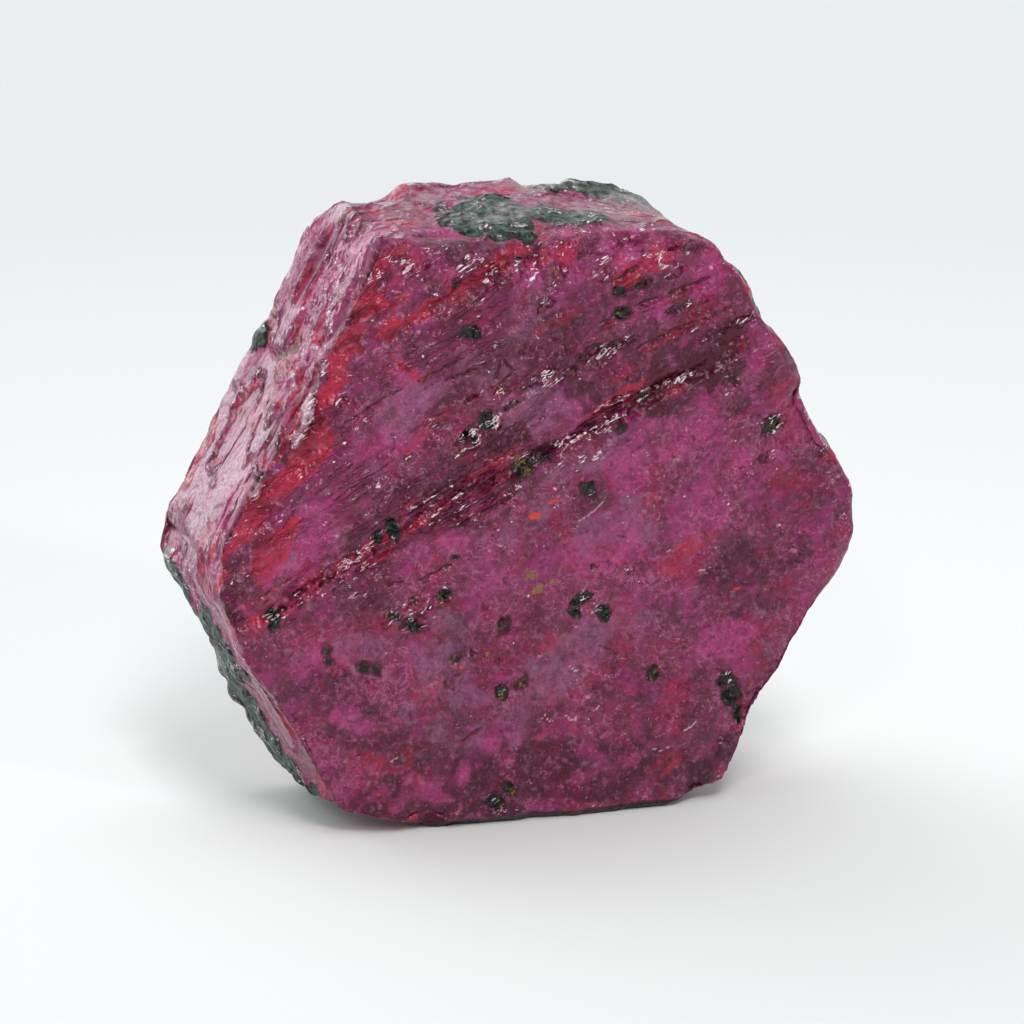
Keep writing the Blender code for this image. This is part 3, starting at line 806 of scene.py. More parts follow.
    def fibres(self) -> tuple[tuple, ...]:
        """Return the lines of lint that cling to the face, each as corners of X and Z."""
        return (
            ((2.5, 16.9), (3.2, 17.3), (3.8, 17.8)), ((3.2, 11.5), (3.6, 11.8), (3.4, 12.1)),
            ((0.6, 6.0), (0.9, 5.6)), ((3.5, 6.1), (3.7, 6.3)), ((1.8, 5.9), (2.0, 5.6), (2.4, 5.5), (2.3, 5.8)),
            ((6.6, 3.6), (7.2, 3.4), (7.7, 3.5)), ((8.6, 4.4), (9.0, 4.6), (9.3, 4.9)), ((9.2, 13.3), (10.1, 13.5)),
            ((5.2, 15.4), (5.3, 15.5)), ((-8.4, 4.2), (-7.8, 4.5)), ((2.1, 8.6), (2.3, 8.3), (2.7, 8.4)),
        )

    def apply(self) -> None:
        """Add everything on this face."""
        surface, here, points = self.surface, self.here, self.surface.points
        before = surface.height.copy()
        for line, strength in (
            (self.ledge, 1.0), (self.upper_ledge, 0.55), (self.lower_step, 0.5), (self.right_step, 0.45),
        ):
            surface.height += self.ledge_relief(line, strength)
        self.add_streaks()
        self.add_gashes()
        self.add_rubble()
        self.add_grains()
        self.add_margin()
        self.add_left_edge()
        surface.height = before + here * (surface.height - before)
        for mask, rows in self.patches().items():
            for row in rows:
                surface.mark(mask, here * Patch(*row).share(points, self.patch_raggedness))
        # gloss with painted glints, and specks of painted crevice shade, over the upper face
        grit = ramp(noise(points, 1.4, 114), -0.1, 0.5) * ramp(points[:, 2], 9.0, 15.0)
        surface.mark(Mask.FRESH_STEPS_AND_PAINTED_GLINTS, 0.30 * here * grit)
        surface.mark(Mask.CREVICE_SHADE_AND_WINE, 0.35 * here * grit * ramp(noise(points, 0.45, 115), 0.25, 0.6))
        for fibre in self.fibres():
            distance, _ = along_line(points[:, (0, 2)], fibre)
            surface.mark(Mask.LINT, here * (1.0 - ramp(np.abs(distance), 0.02, self.fibre_width)))

    def add_gashes(self) -> None:
        """Cut the grooves and cracks."""
        surface, here, points = self.surface, self.here, self.surface.points
        wander = 0.10 * noise(points, 1.1, 81) + 0.05 * noise(points, 0.4, 82)
        broken = np.clip(0.62 + 0.9 * noise(points, 0.9, 83), 0.12, 1.3)
        for gash in self.gashes():
            distance, run = along_line(points[:, (0, 2)], gash.line)
            distance = distance + wander
            ends = ramp(run, 0.0, 0.08) * (1.0 - ramp(run, 0.92, 1.0))
            ends = np.maximum(ends, 1.0 - ramp(np.abs(distance), 0.0, gash.width * 2.0)) * ramp(ends, 0.0, 0.4)
            cut = ends * np.exp(-((distance / gash.width) ** 2))
            lip = ends * np.exp(-(((distance - 2.2 * gash.width) / gash.width) ** 2))
            surface.height += gash.lip * lip * broken - gash.depth * cut * broken
            # painted shade in the cut, crimson in and beside it, and gloss with painted glints on the lip
            surface.mark(Mask.CREVICE_SHADE_AND_WINE, here * cut * ramp(broken, 0.1, 0.6))
            surface.mark(Mask.CRIMSON, here * 0.65 * gash.crimson * ramp(np.maximum(cut, 0.6 * lip), 0.1, 0.6))
            surface.mark(Mask.FRESH_STEPS_AND_PAINTED_GLINTS, here * 0.75 * ramp(gash.lip, 0.02, 0.12) * lip)

    def add_rubble(self) -> None:
        """Tear the small zones into steps and facets."""
        surface, here, points = self.surface, self.here, self.surface.points
        slanted = self.streak_frame(points) / np.array([1.6, 1.0, 1.0])
        wander = 0.35 * noise(points, 0.7, 131) + 0.2 * noise(points, 0.3, 132)
        coarse, fine = noise(slanted, 0.7, 133), noise(slanted, 0.32, 134)
        low = ramp(-(coarse + 0.6 * fine), 0.0, 0.45)
        for zone in self.rubble():
            share = zone.share(points, wander)
            surface.height += share * (0.20 * coarse + 0.12 * fine - 0.06 * zone.dark)
            # painted crevice shade and black amphibole specks in the low parts; gloss and painted glints on the rest
            surface.mark(Mask.CREVICE_SHADE_AND_WINE, here * zone.dark * share * low)
            surface.mark(Mask.MATRIX, here * 0.58 * zone.dark * share * low)
            surface.mark(Mask.OLIVE, here * 0.40 * zone.dark * share * ramp(fine, 0.0, 0.5))
            surface.mark(Mask.FRESH_STEPS_AND_PAINTED_GLINTS, here * zone.bright * share * (1.0 - 0.6 * low))

    def add_grains(self) -> None:
        """Set the dark grains in the face."""
        surface, here, points = self.surface, self.here, self.surface.points
        wander = 0.40 * noise(points, 0.75, 91) + 0.25 * noise(points, 0.35, 92)
        inner = noise(points, 0.34, 93)
        for index, grain in enumerate(self.grains()):
            along, across = turned(points, grain.x, grain.z, index * self.grain_turn)
            along, across = along / (self.grain_length * grain.radius), across / (self.grain_width * grain.radius)
            away = np.sqrt(along**2 + across**2 + ((points[:, 1] - grain.y) / grain.radius) ** 2)
            inside = 1.0 - ramp(away + wander, 0.75, 1.0)
            surface.height += grain.height * np.exp(-(away**2)) + 0.10 * inside * inner
            # painted shade in a ring round each grain
            surface.mark(Mask.CREVICE_SHADE_AND_WINE, here * 0.8 * (1.0 - ramp(away + wander, 0.9, 1.35)))
            shown = 0.5 if -self.buried <= grain.height < 0.0 else 1.0
            surface.mark(Mask.MATRIX, min(shown, 0.82) * inside)
            # gloss and painted glints on the grains
            surface.mark(Mask.FRESH_STEPS_AND_PAINTED_GLINTS, here * (1.1 * shown - 0.55) * inside * ramp(inner, -0.2, 0.3))
            surface.mark(Mask.OLIVE, here * 0.5 * inside * ramp(noise(points, 0.6, 94), 0.2, 0.5))

    def add_left_edge(self) -> None:
        """Let deep red glow inside the long edge at the upper left, and paint bright highlights on its crest and
        painted sheen on the face beyond it.
        """
        surface, points = self.surface, self.surface.points
        front_side = ramp(-surface.normals[:, 1], 0.3, 0.7)
        distance, run = along_line(points[:, (0, 2)], self.left_edge)
        distance = distance + 0.40 * noise(points, 1.7, 106) + 0.15 * noise(points, 0.5, 107)
        ends = front_side * ramp(run, 0.0, 0.04)
        width = self.glow_width * (1.0 + 0.6 * noise(points, 3.0, 108))
        glow = ends * (1.0 - ramp(distance, 0.2 * width, width)) * ramp(distance, -0.1, 0.15)
        surface.mark(Mask.CRIMSON, 0.72 * glow)
        surface.clear(Mask.DUSK_AND_PAINTED_SHADE, glow)
        beyond = ends * ramp(-distance, 0.0, 0.35)
        crest = ends * (1.0 - ramp(np.abs(distance + 0.15), 0.1, 0.65))
        lumps = noise(points * np.array([1.0, 1.0, 0.6]), 0.7, 109)
        surface.height += crest * (0.20 + 0.24 * lumps) - 0.12 * beyond
        # gloss, painted glints and painted highlights on the crest; painted sheen on the smooth face beyond
        surface.mark(Mask.FRESH_STEPS_AND_PAINTED_GLINTS, crest * ramp(lumps, -0.5, 0.2))
        surface.mark(Mask.PAINTED_SHEEN, 0.9 * crest * ramp(lumps, 0.0, 0.5))
        surface.mark(Mask.PAINTED_SHEEN, beyond * (0.10 + 0.40 * noise(points, 1.6, 110)))
        surface.mark(Mask.CRIMSON, 0.85 * beyond * ramp(noise(points, 1.9, 113), -0.25, 0.2))
        surface.mark(Mask.POLISHED_WITH_PAINTED_SHEEN, beyond * (1.0 - crest))
        surface.clear(Mask.STREAK, beyond)

    def add_margin(self) -> None:
        """Roughen the band under the top edge, where the growth steps end in small bright facets, with gloss and
        painted glints and specks of painted crevice shade.
        """
        surface, here, points = self.surface, self.here, self.surface.points
        slope = points[:, 2] + 0.04 * points[:, 0] + 0.5 * noise(points, 2.0, 101)
        band = ramp(slope, self.margin_low, self.margin_high)
        surface.height += band * (0.15 * noise(points, 1.3, 41) + 0.15 * noise(points, 0.6, 102))
        # gloss with painted glints, and specks of painted crevice shade
        surface.mark(Mask.FRESH_STEPS_AND_PAINTED_GLINTS, here * 0.8 * band * ramp(noise(points, 0.8, 103), -0.4, 0.4))
        surface.mark(Mask.CREVICE_SHADE_AND_WINE, here * 0.6 * band * ramp(noise(points, 0.7, 116), 0.2, 0.6))
        surface.mark(Mask.CRIMSON, here * 0.5 * band * ramp(noise(points, 1.2, 104), 0.0, 0.6))
        surface.mark(Mask.MAGENTA, here * 0.9 * band * ramp(noise(points, 1.1, 105), -0.3, 0.3))


@dataclass
class BackFace(BasalFace):
    """The hidden basal face: two growth ledges and the same kind of streaks."""

    outward: tuple = (0.0, 1.0, 0.0)
    ledge: tuple = ((-14.0, 9.5), (-8.5, 12.0), (-2.0, 13.2), (5.5, 17.6), (13.5, 21.0))
    step: tuple = ((-7.5, 30.2), (-2.0, 26.0), (1.0, 25.2), (6.0, 20.8))

    def apply(self) -> None:
        """Add the ledges and streaks of this face."""
        surface, here, points = self.surface, self.here, self.surface.points
        before = surface.height.copy()
        surface.height += self.ledge_relief(self.ledge, 0.9)
        surface.height += self.ledge_relief(self.step, 0.7)
        self.add_streaks()
        surface.height = before + here * (surface.height - before)
        slanted = self.streak_frame(points) / np.array([2.2, 1.0, 1.0])
        specks = here * ramp(noise(slanted, 0.9, 141), 0.52, 0.62)
        torn = here * ramp(noise(slanted, 2.0, 142), 0.38, 0.60)
        coarse = noise(slanted, 0.7, 143)
        surface.height += torn * 0.22 * coarse - 0.10 * specks
        surface.mark(Mask.MATRIX, specks)
        # gloss with painted glints on the torn zones, painted shade in their hollows
        surface.mark(Mask.FRESH_STEPS_AND_PAINTED_GLINTS, 0.55 * torn)
        surface.mark(Mask.CREVICE_SHADE_AND_WINE, torn * ramp(-coarse, 0.0, 0.4))
        surface.mark(Mask.CRIMSON, here * 0.7 * ramp(noise(slanted, 2.6, 144), 0.25, 0.60))
        surface.mark(Mask.HAZE_AND_PAINTED_SHEEN, here * 0.7 * ramp(noise(points, 4.0, 145), 0.1, 0.6))
        surface.mark(Mask.MAGENTA, here * 0.6 * ramp(noise(points, 4.5, 111), 0.0, 0.7))
        surface.mark(Mask.DUSK_AND_PAINTED_SHADE, here * 0.8 * ramp(noise(points, 5.0, 112), 0.0, 0.7))


@dataclass
class PrismFaces:
    """The narrow faces round the prism: ridged upper left, smoother ground below it, and the rest."""

    habit: CrystalHabit
    ridge_height: float = 0.55
    ridge_length: float = 2.1
    slab_length: float = 2.6
    slab_step: float = 0.22

    def apply(self, surface: Surface) -> None:
        """Add ridges and steps along the prism faces, with painted sheen and highlights on their lips, crests and
        smooth planes, and crimson with painted shade at the foot of each step.

        Args:
            surface: the surface to work on.
        """
        points = surface.points
        side = 1.0 - ramp(np.abs(surface.normals[:, 1]), 0.35, 0.6)
        upper_left = surface.facing(self.habit.outward("upper_left"), 0.7, 0.92)
        upper = ramp(points[:, 2], 20.5, 25.5)
        crest = ridges(points * np.array([0.35, 1.3, 0.35]), self.ridge_length, 51)
        surface.height += upper_left * (0.10 + 0.55 * upper) * (crest - 0.45) * self.ridge_height
        fine = ridges(points * np.array([0.5, 1.6, 0.5]), 0.7, 121)
        streak = noise(points * np.array([0.10, 1.0, 0.10]), 0.45, 124)
        smooth = side * ramp(noise(points * np.array([0.45, 1.0, 0.45]), 2.6, 130), -0.30, 0.10)
        surface.height += side * (1.0 - smooth) * (0.02 + 0.05 * upper_left) * fine
        surface.height += side * 0.012 * streak
        level = 1.7 * noise(points * np.array([0.55, 1.1, 0.55]), self.slab_length, 126)
        level = level + 0.25 * noise(points, 0.9, 127)
        part = level - np.floor(level)
        slab = side * (0.45 + 0.55 * upper_left * (0.4 + 0.6 * upper))
        surface.height += self.slab_step * slab * (np.floor(level) + ramp(part, 0.0, 0.16))
        foot = 1.0 - ramp(np.minimum(part, 1.0 - part), 0.02, 0.16)
        lip = ramp(part, 0.10, 0.18) * (1.0 - ramp(part, 0.22, 0.40))
        # crimson and painted shade at the foot of each step; painted sheen and glints on its lip
        surface.mark(Mask.CRIMSON, slab * 0.9 * foot)
        surface.mark(Mask.CREVICE_SHADE_AND_WINE, slab * 0.7 * foot * ramp(noise(points, 1.4, 128), 0.0, 0.5))
        surface.mark(Mask.PAINTED_SHEEN, slab * 0.45 * lip)
        surface.mark(Mask.FRESH_STEPS_AND_PAINTED_GLINTS, side * 0.8 * lip)
        # smooth planes: real gloss with painted sheen in the colour, and more painted sheen on the crests
        surface.mark(Mask.POLISHED_WITH_PAINTED_SHEEN, smooth * (1.0 - foot) * (1.0 - lip) * (0.45 + 0.55 * upper_left))
        surface.mark(Mask.PAINTED_SHEEN, upper_left * smooth * (0.16 + 0.12 * streak))
        surface.mark(Mask.PAINTED_SHEEN, side * 0.25 * ramp(crest, 0.6, 0.95) * ramp(noise(points, 1.1, 122), -0.1, 0.5))
        surface.mark(Mask.MAGENTA, side * (0.9 - 0.5 * smooth))
        surface.mark(Mask.CRIMSON, side * 0.8 * ramp(-crest, -0.3, 0.4) * ramp(noise(points, 2.4, 123), -0.1, 0.4))
        surface.mark(Mask.FRESH_STEPS_AND_PAINTED_GLINTS, side * 0.4 * ramp(crest, 0.4, 0.9) * (1.0 - smooth))


@dataclass
class MatrixCrust:
    """Dark amphibole grown onto the prism faces as rough lumps."""

    patches: tuple[Spot, ...] = spots(
        (-1.2, -1.0, 33.0, 3.6, 0.32), (2.6, -1.2, 33.0, 3.0, 0.28), (-0.2, 5.0, 33.2, 2.4, 0.45),
        (4.6, 4.4, 33.0, 3.2, 0.35), (8.0, 2.6, 32.4, 2.0, 0.3), (-15.2, 2.4, 10.4, 4.0, 0.5),
        (-13.4, 4.0, 6.4, 4.2, 0.7), (-11.6, 1.0, 2.6, 3.8, 0.5), (-17.4, 3.8, 13.0, 2.6, 0.35),
        (12.2, -2.6, 28.2, 2.9, 0.42), (14.6, -2.4, 24.0, 2.5, 0.36), (17.4, -2.2, 19.4, 2.2, 0.34),
        (15.4, 2.6, 22.0, 3.2, 0.4), (-12.4, 4.9, 26.2, 1.2, 0.25), (7.0, 5.9, 9.5, 6.0, 0.6),
        (-6.5, 5.9, 20.5, 4.5, 0.5), (11.5, 3.0, 4.5, 3.5, 0.6),
    )
    pink_lump: Spot = Spot(-3.4, 5.0, 33.3, 3.0, 0.65)

    def apply(self, surface: Surface) -> None:
        """Raise the crust and mark it.

        Args:
            surface: the surface to work on.
        """
        points = surface.points
        total = np.zeros(len(points))
        share = np.zeros(len(points))
        lumps = 0.55 + 0.45 * noise(points, 1.5, 61) + 0.30 * noise(points, 0.8, 62)
        wander = 0.30 * noise(points, 1.7, 63) + 0.36 * noise(points, 4.2, 64)
        fine_wander = 0.16 * noise(points, 0.6, 65)
        for patch in (*self.patches, self.pink_lump):
            away = patch.away(points) + wander
            total = np.maximum(total, patch.height * (1.0 - ramp(away, 0.55, 1.0)))
            if patch is not self.pink_lump:
                share = np.maximum(share, 1.0 - ramp(away + fine_wander, 0.72, 0.92))
        surface.height += total * lumps + share * (0.10 * noise(points, 0.7, 66) + 0.07 * noise(points, 0.4, 69))
        not_front = 1.0 - surface.facing(np.array([0.0, -1.0, 0.0]), 0.45, 0.75)
        holes = ramp(noise(points, 1.3, 67), 0.35, 0.6)
        surface.mark(Mask.MATRIX, share * not_front * (1.0 - holes))
        surface.mark(Mask.FRESH_STEPS_AND_PAINTED_GLINTS, share * not_front * 0.6 * ramp(noise(points, 0.9, 70), 0.0, 0.4))
        surface.clear(Mask.POLISHED_WITH_PAINTED_SHEEN, share)
        # painted sheen on the top face, fainter towards the left
        on_top = surface.facing(np.array([0.0, 0.0, 1.0]), 0.6, 0.9) * ramp(points[:, 1], -4.0, -1.5)
        fainter_left = 0.4 + 0.6 * ramp(points[:, 0], -9.0, -4.0)
        surface.mark(Mask.PAINTED_TOP_SHEEN, on_top * fainter_left * (0.62 + 0.5 * noise(points, 2.2, 68)))


# ---- The crystal as one piece ----


@dataclass
class RubyCrystal:
    """The whole crystal: its block, its features and its mesh.

    Attributes:
        voxel: the size of the small even faces, in millimetres.
        front_cosine: how squarely a face looks to the front for its edges to be halved.
        sole_low: how squarely a point looks down where the relief starts to fade.
        sole_high: how squarely it looks down where there is none left.
        foot_shadow_low: how high the painted shadow at the foot reaches in full, in millimetres.
        foot_shadow_high: how high that painted shadow ends.
    """

    habit: CrystalHabit = field(default_factory=CrystalHabit)
    voxel: float = 0.26
    smooth_passes: int = 2
    smooth_factor: float = 0.5
    front_cosine: float = 0.80
    sole_low: float = 0.94
    sole_high: float = 0.985
    foot_shadow_low: float = 0.30
    foot_shadow_high: float = 0.62

    def build(self, low: Vector, high: Vector) -> bpy.types.Object:
        """Make the finished mesh.

        Args:
            low: the lowest corner of the box that it fills, in metres.
            high: the highest corner of that box, in metres.

        Returns:
            The crystal as one object, with its masks stored on its points.
        """
        crystal = bpy.data.objects.new("ruby_crystal_skin", self.habit.block())
        bpy.context.scene.collection.objects.link(crystal)
        self.remesh(crystal)
        self.refine_front(crystal)
        surface = self.read(crystal.data)
        GeneralWear().apply(surface)
        FrontFace(surface).apply()
        BackFace(surface).apply()
        PrismFaces(self.habit).apply(surface)
        MatrixCrust().apply(surface)
        surface.height *= 1.0 - ramp(-surface.normals[:, 2], self.sole_low, self.sole_high)
        self.paint_foot_shadow(surface)
        self.write(crystal.data, surface, low, high)
        crystal.data.shade_smooth()
        return crystal

    def paint_foot_shadow(self, surface: Surface) -> None:
        """Paint a contact shadow on the bevel at the foot, where little light comes, in the dusk, crevice and
        near-black matrix colours, and clear what would brighten it.

        Args:
            surface: the surface to work on.
        """
        low = surface.points[:, 2] + 0.16 * noise(surface.points, 2.2, 151)
        foot = 1.0 - ramp(low, self.foot_shadow_low, self.foot_shadow_high)
        # painted shadow: dusk, crevice shade and near-black matrix colour laid along the foot
        surface.mark(Mask.DUSK_AND_PAINTED_SHADE, foot)
        surface.mark(Mask.CREVICE_SHADE_AND_WINE, foot)
        surface.mark(Mask.MATRIX, (0.50 + 0.12 * noise(surface.points, 0.9, 152)) * foot)
        for mask in (Mask.CRIMSON, Mask.MAGENTA, Mask.PAINTED_SHEEN, Mask.POLISHED_WITH_PAINTED_SHEEN, Mask.FRESH_STEPS_AND_PAINTED_GLINTS, Mask.LINT):
            surface.clear(mask, foot)

    def remesh(self, crystal: bpy.types.Object) -> None:
        """Turn the block into small even faces and round its edges a little.

        Args:
            crystal: the object to work on.
        """
        remesh = crystal.modifiers.new("fine", "REMESH")
        remesh.mode = "VOXEL"
        remesh.voxel_size = self.voxel
        smooth = crystal.modifiers.new("soften", "SMOOTH")
        smooth.factor = self.smooth_factor
        smooth.iterations = self.smooth_passes
        bpy.context.view_layer.update()
        graph = bpy.context.evaluated_depsgraph_get()
        finished = bpy.data.meshes.new_from_object(crystal.evaluated_get(graph))
        crystal.modifiers.clear()
        crystal.data = finished

    def refine_front(self, crystal: bpy.types.Object) -> None:
        """Halve the faces of the front, where the finest relief is.

        Args:
            crystal: the object to work on.
        """
        bm = bmesh.new()
        bm.from_mesh(crystal.data)
        bm.normal_update()
        front = [face for face in bm.faces if -face.normal.y > self.front_cosine]
        edges = list({edge for face in front for edge in face.edges})
        bmesh.ops.subdivide_edges(bm, edges=edges, cuts=1, use_grid_fill=True)
        bmesh.ops.triangulate(bm, faces=[face for face in bm.faces if len(face.verts) > 4])
        bm.to_mesh(crystal.data)
        bm.free()

    def read(self, mesh: bpy.types.Mesh) -> Surface:
        """Read a mesh into arrays.

        Args:
            mesh: the mesh to read.

        Returns:
            Its points and normals, with no relief yet.
        """
        points = np.empty(len(mesh.vertices) * 3)
        mesh.vertices.foreach_get("co", points)
        normals = np.empty(len(mesh.vertices) * 3)
        mesh.vertex_normals.foreach_get("vector", normals)
        points = points.reshape(-1, 3)
        return Surface(points, normals.reshape(-1, 3), self.habit.edge_distance(points))

    def write(self, mesh: bpy.types.Mesh, surface: Surface, low: Vector, high: Vector) -> None:
        """Move the mesh's points by the relief, grind the resting face flat and fit the whole into its box.

        Args:
            mesh: the mesh to change.
            surface: the relief and masks.
            low: the lowest corner of the box, in metres.
            high: the highest corner of the box, in metres.
        """
        moved = surface.points + surface.normals * surface.height[:, None]
        moved[:, 2] = np.maximum(moved[:, 2], 0.0)
        bottom, top = moved.min(axis=0), moved.max(axis=0)
        share = (moved - bottom) / (top - bottom)
        fitted = np.array(low) + share * (np.array(high) - np.array(low))
        mesh.vertices.foreach_set("co", fitted.ravel())
        mesh.update()
        for mask, values in surface.masks.items():
            layer = mesh.attributes.new(mask.value, "FLOAT", "POINT")
            layer.data.foreach_set("value", values.astype(np.float32))


# ---- Finishes ----


def linear(hex_colour: str) -> tuple[float, float, float, float]:
    """Turn an sRGB colour into the linear values that the renderer works in.

    Args:
        hex_colour: six hexadecimal digits after a hash sign.

    Returns:
        Red, green, blue and an opacity of 1.
    """
    shares = [int(hex_colour[start : start + 2], 16) / 255.0 for start in (1, 3, 5)]
    return (*(share / 12.92 if share <= 0.04045 else ((share + 0.055) / 1.055) ** 2.4 for share in shares), 1.0)


Socket = bpy.types.NodeSocket
Fed = Socket | float | tuple
Adder = Callable[..., Socket]
SMOOTH = {"interpolation_type": "SMOOTHSTEP"}


def add_node(
    tree: bpy.types.NodeTree, kind: str, inputs: dict[str | int, Fed], output: str | int = 0, **settings: object
) -> Socket:
    """Add a shader node with its settings, its values and what feeds it.

    Args:
        tree: the tree that the node joins.
        kind: the node's type, without the ShaderNode that each type starts with.
        inputs: what each input holds, either a value or the output that feeds it.
        output: which of its outputs is handed back.
        settings: the node's own properties.

    Returns:
        The chosen output.
    """
    node = tree.nodes.new("ShaderNode" + kind)
    for name, value in settings.items():
        setattr(node, name, value)
    for name, value in inputs.items():
        if isinstance(value, Socket):
            tree.links.new(value, node.inputs[name])
        else:
            node.inputs[name].default_value = value
    return node.outputs[output]


@dataclass(frozen=True)
class Coat:
    """One layer of colour laid over those before it.

    Attributes:
        colour: its sRGB colour.
        size: how large its blotches or the notches of its rim are, in millimetres.
        low: where it starts to show.
        high: where it shows fully.
        top: its greatest share.
        mask: the mask that it follows, or None where it lies all over.
        slanted: whether its blotches run along the growth slant.
        edge: how much the notches eat into the rim of its mask.
    """

    colour: str
    size: float
    low: float
    high: float
    top: float = 1.0
    mask: Mask | None = None
    slanted: bool = False
    edge: float = 0.9


@dataclass(frozen=True)
class RoughCorundum:
    """Ruby corundum as grown: nearly opaque with silk and fractures, on glossy natural faces with tiny steps.

    The eye gets soft clouds of plum, magenta and crimson under a wet gloss, and small white sparks from fresh steps,
    partly from the lamps and partly painted as white curls and specks; painted sheen, and painted shade in hollows,
    are mixed into the colour too.
    """

    body: str = "#7a3050"
    # dark colour of the cracks, and of the painted shade along the crinkle grooves
    line: str = "#4a0c22"
    groove_shade_share: float = 0.55
    vein: str = "#941c46"
    silk: str = "#b86a94"
    # colour of the painted glints, white curls along the fresh steps
    painted_glint: str = "#f4e6ea"
    ior: float = 1.45
    mirror_tint: str = "#ffdce8"
    roughness_low: float = 0.15
    roughness_high: float = 0.36
    roughness_polished: float = 0.20
    roughness_matrix: float = 0.48
    roughness_spark: float = 0.12
    vein_cell: float = 4.6
    vein_width: float = 0.07
    vein_share: float = 0.6
    warp_scale: float = 0.5
    warp: float = 4.0
    crinkle_size: float = 0.9
    crinkle_width: float = 0.03
    wave_size: float = 0.75
    wave_height: float = 0.30
    wave_height_spark: float = 0.75
    wave_polished: float = 0.05
    grain_size: float = 0.34
    grain_height: float = 0.085
    groove_depth: float = 0.07
    facet_size: float = 0.30
    facet_tilt: float = 0.10
    facet_tilt_spark: float = 1.1
    facet_middle: tuple[float, float, float] = (0.5, 0.5, 0.18)
    silk_size: float = 0.75
    silk_width: float = 0.04
    silk_share: float = 0.50
    crack_size: float = 1.3
    crack_width: float = 0.018
    crack_share: float = 0.60
    curl_size: float = 0.42
    curl_width: float = 0.030
    curl_gap: float = 0.45
    curl_breaks: float = 2.2
    curl_low: float = 1.75
    slant: float = 31.0
    stretch: tuple[float, float, float] = (0.26, 0.7, 1.0)

    def coats(self) -> tuple[Coat, ...]:
        """Return the colour layers from the lowest up."""
        return (
            # clouds of the body: dusky plum, crimson and magenta, then finer plum and rose mottling
            Coat("#462230", 3.4, 0.43, 0.61, 0.74),
            Coat("#8e183e", 2.3, 0.50, 0.66, 0.60),
            Coat("#962e6a", 1.7, 0.50, 0.66, 0.60),
            # dusky zones, also painted shade at the bottom of the front and at the foot
            Coat("#3a0e22", 0.9, 0.10, 1.10, 0.85, Mask.DUSK_AND_PAINTED_SHADE, edge=2.2),
            Coat("#ae3e7a", 1.2, 0.10, 1.20, 0.66, Mask.MAGENTA, edge=3.2),
            # haze, partly painted sheen
            Coat("#8a5a7a", 1.3, 0.10, 1.10, 0.62, Mask.HAZE_AND_PAINTED_SHEEN, edge=1.6),
            Coat("#461228", 0.6, 0.48, 0.66, 0.46),
            Coat("#ac5e86", 0.42, 0.54, 0.70, 0.36),
            Coat("#560c28", 0.8, 0.64, 0.70, 0.75),
            # fine fuzz, drawn a little coarser than the real silk so that it shows
            Coat("#3a0a20", 0.26, 0.52, 0.68, 0.34),
            Coat("#c88aa8", 0.22, 0.58, 0.76, 0.22),
            # streaks of the upper half
            Coat("#4a0c26", 0.6, 0.40, 1.00, 0.54, Mask.STREAK, slanted=True, edge=2.8),
            # crimson zones, deeper in their middle
            Coat("#b4223a", 0.9, 0.10, 0.95, 0.80, Mask.CRIMSON, slanted=True, edge=2.0),
            Coat("#540818", 0.6, 0.55, 1.15, 0.75, Mask.CRIMSON, slanted=True, edge=2.6),
            # painted sheen and highlights
            Coat("#bc94a4", 0.9, 0.15, 1.05, 0.75, Mask.PAINTED_SHEEN, edge=1.8),
            # painted sheen on the smooth planes
            Coat("#94647a", 0.7, 0.30, 1.20, 0.42, Mask.POLISHED_WITH_PAINTED_SHEEN, slanted=True, edge=1.8),
            # painted shade in grooves and hollows, partly the deeper red seen into them, and the darkest wine zone
            Coat("#420a1e", 0.3, 0.30, 0.85, 0.90, Mask.CREVICE_SHADE_AND_WINE, edge=1.2),
            # amphibole, its grey-green partly painted sheen, then painted sheen on the top, iron stain and lint
            Coat("#101a16", 0.3, 0.42, 0.52, 1.0, Mask.MATRIX, edge=0.9),
            # lighter grey-green on the thickest crust, partly painted sheen
            Coat("#50786c", 0.35, 0.88, 1.20, 0.75, Mask.MATRIX, edge=0.9),
            Coat("#a89c9e", 0.5, 0.30, 1.10, 0.60, Mask.PAINTED_TOP_SHEEN, edge=2.2),
            Coat("#80662c", 0.16, 0.40, 0.80, 0.80, Mask.OLIVE, edge=2.4),
            Coat("#d23a1c", 0.20, 0.40, 0.60, 0.90, Mask.ORANGE, edge=1.2),
            # painted glints: white specks on the fresh steps of the torn zones, fewer elsewhere
            Coat("#f0e2ea", 0.22, 1.30, 1.42, 0.95, Mask.FRESH_STEPS_AND_PAINTED_GLINTS, edge=2.2),
            Coat("#e8d4e0", 0.19, 0.73, 0.76, 0.70),
            Coat("#d8bcc4", 0.3, 0.30, 0.80, 0.50, Mask.LINT, edge=0.2),
        )

    def material(self) -> bpy.types.Material:
        """Build the finish.

        Returns:
            The material, ready to be given to the crystal.
        """
        material = bpy.data.materials.new("rough ruby corundum, natural faces")
        material.use_nodes = True
        tree = material.node_tree
        shader = tree.nodes["Principled BSDF"]
        shader.inputs["IOR"].default_value = self.ior
        shader.inputs["Specular Tint"].default_value = linear(self.mirror_tint)
        add = partial(add_node, tree)
        place = add("Mapping", {"Vector": add("TexCoord", {}, "Object"), "Scale": (1.0 / MM,) * 3})
        slanted = add("Mapping", {"Vector": place, "Rotation": (0.0, math.radians(self.slant), 0.0)})
        slanted = add("Mapping", {"Vector": slanted, "Scale": self.stretch})
        spark, streak, polish, crust = (
            add("Attribute", {}, "Fac", attribute_name=mask.value)
            for mask in (Mask.FRESH_STEPS_AND_PAINTED_GLINTS, Mask.STREAK, Mask.POLISHED_WITH_PAINTED_SHEEN, Mask.MATRIX)
        )
        crinkle = self.threads(add, slanted, self.crinkle_size, self.crinkle_width, streak)
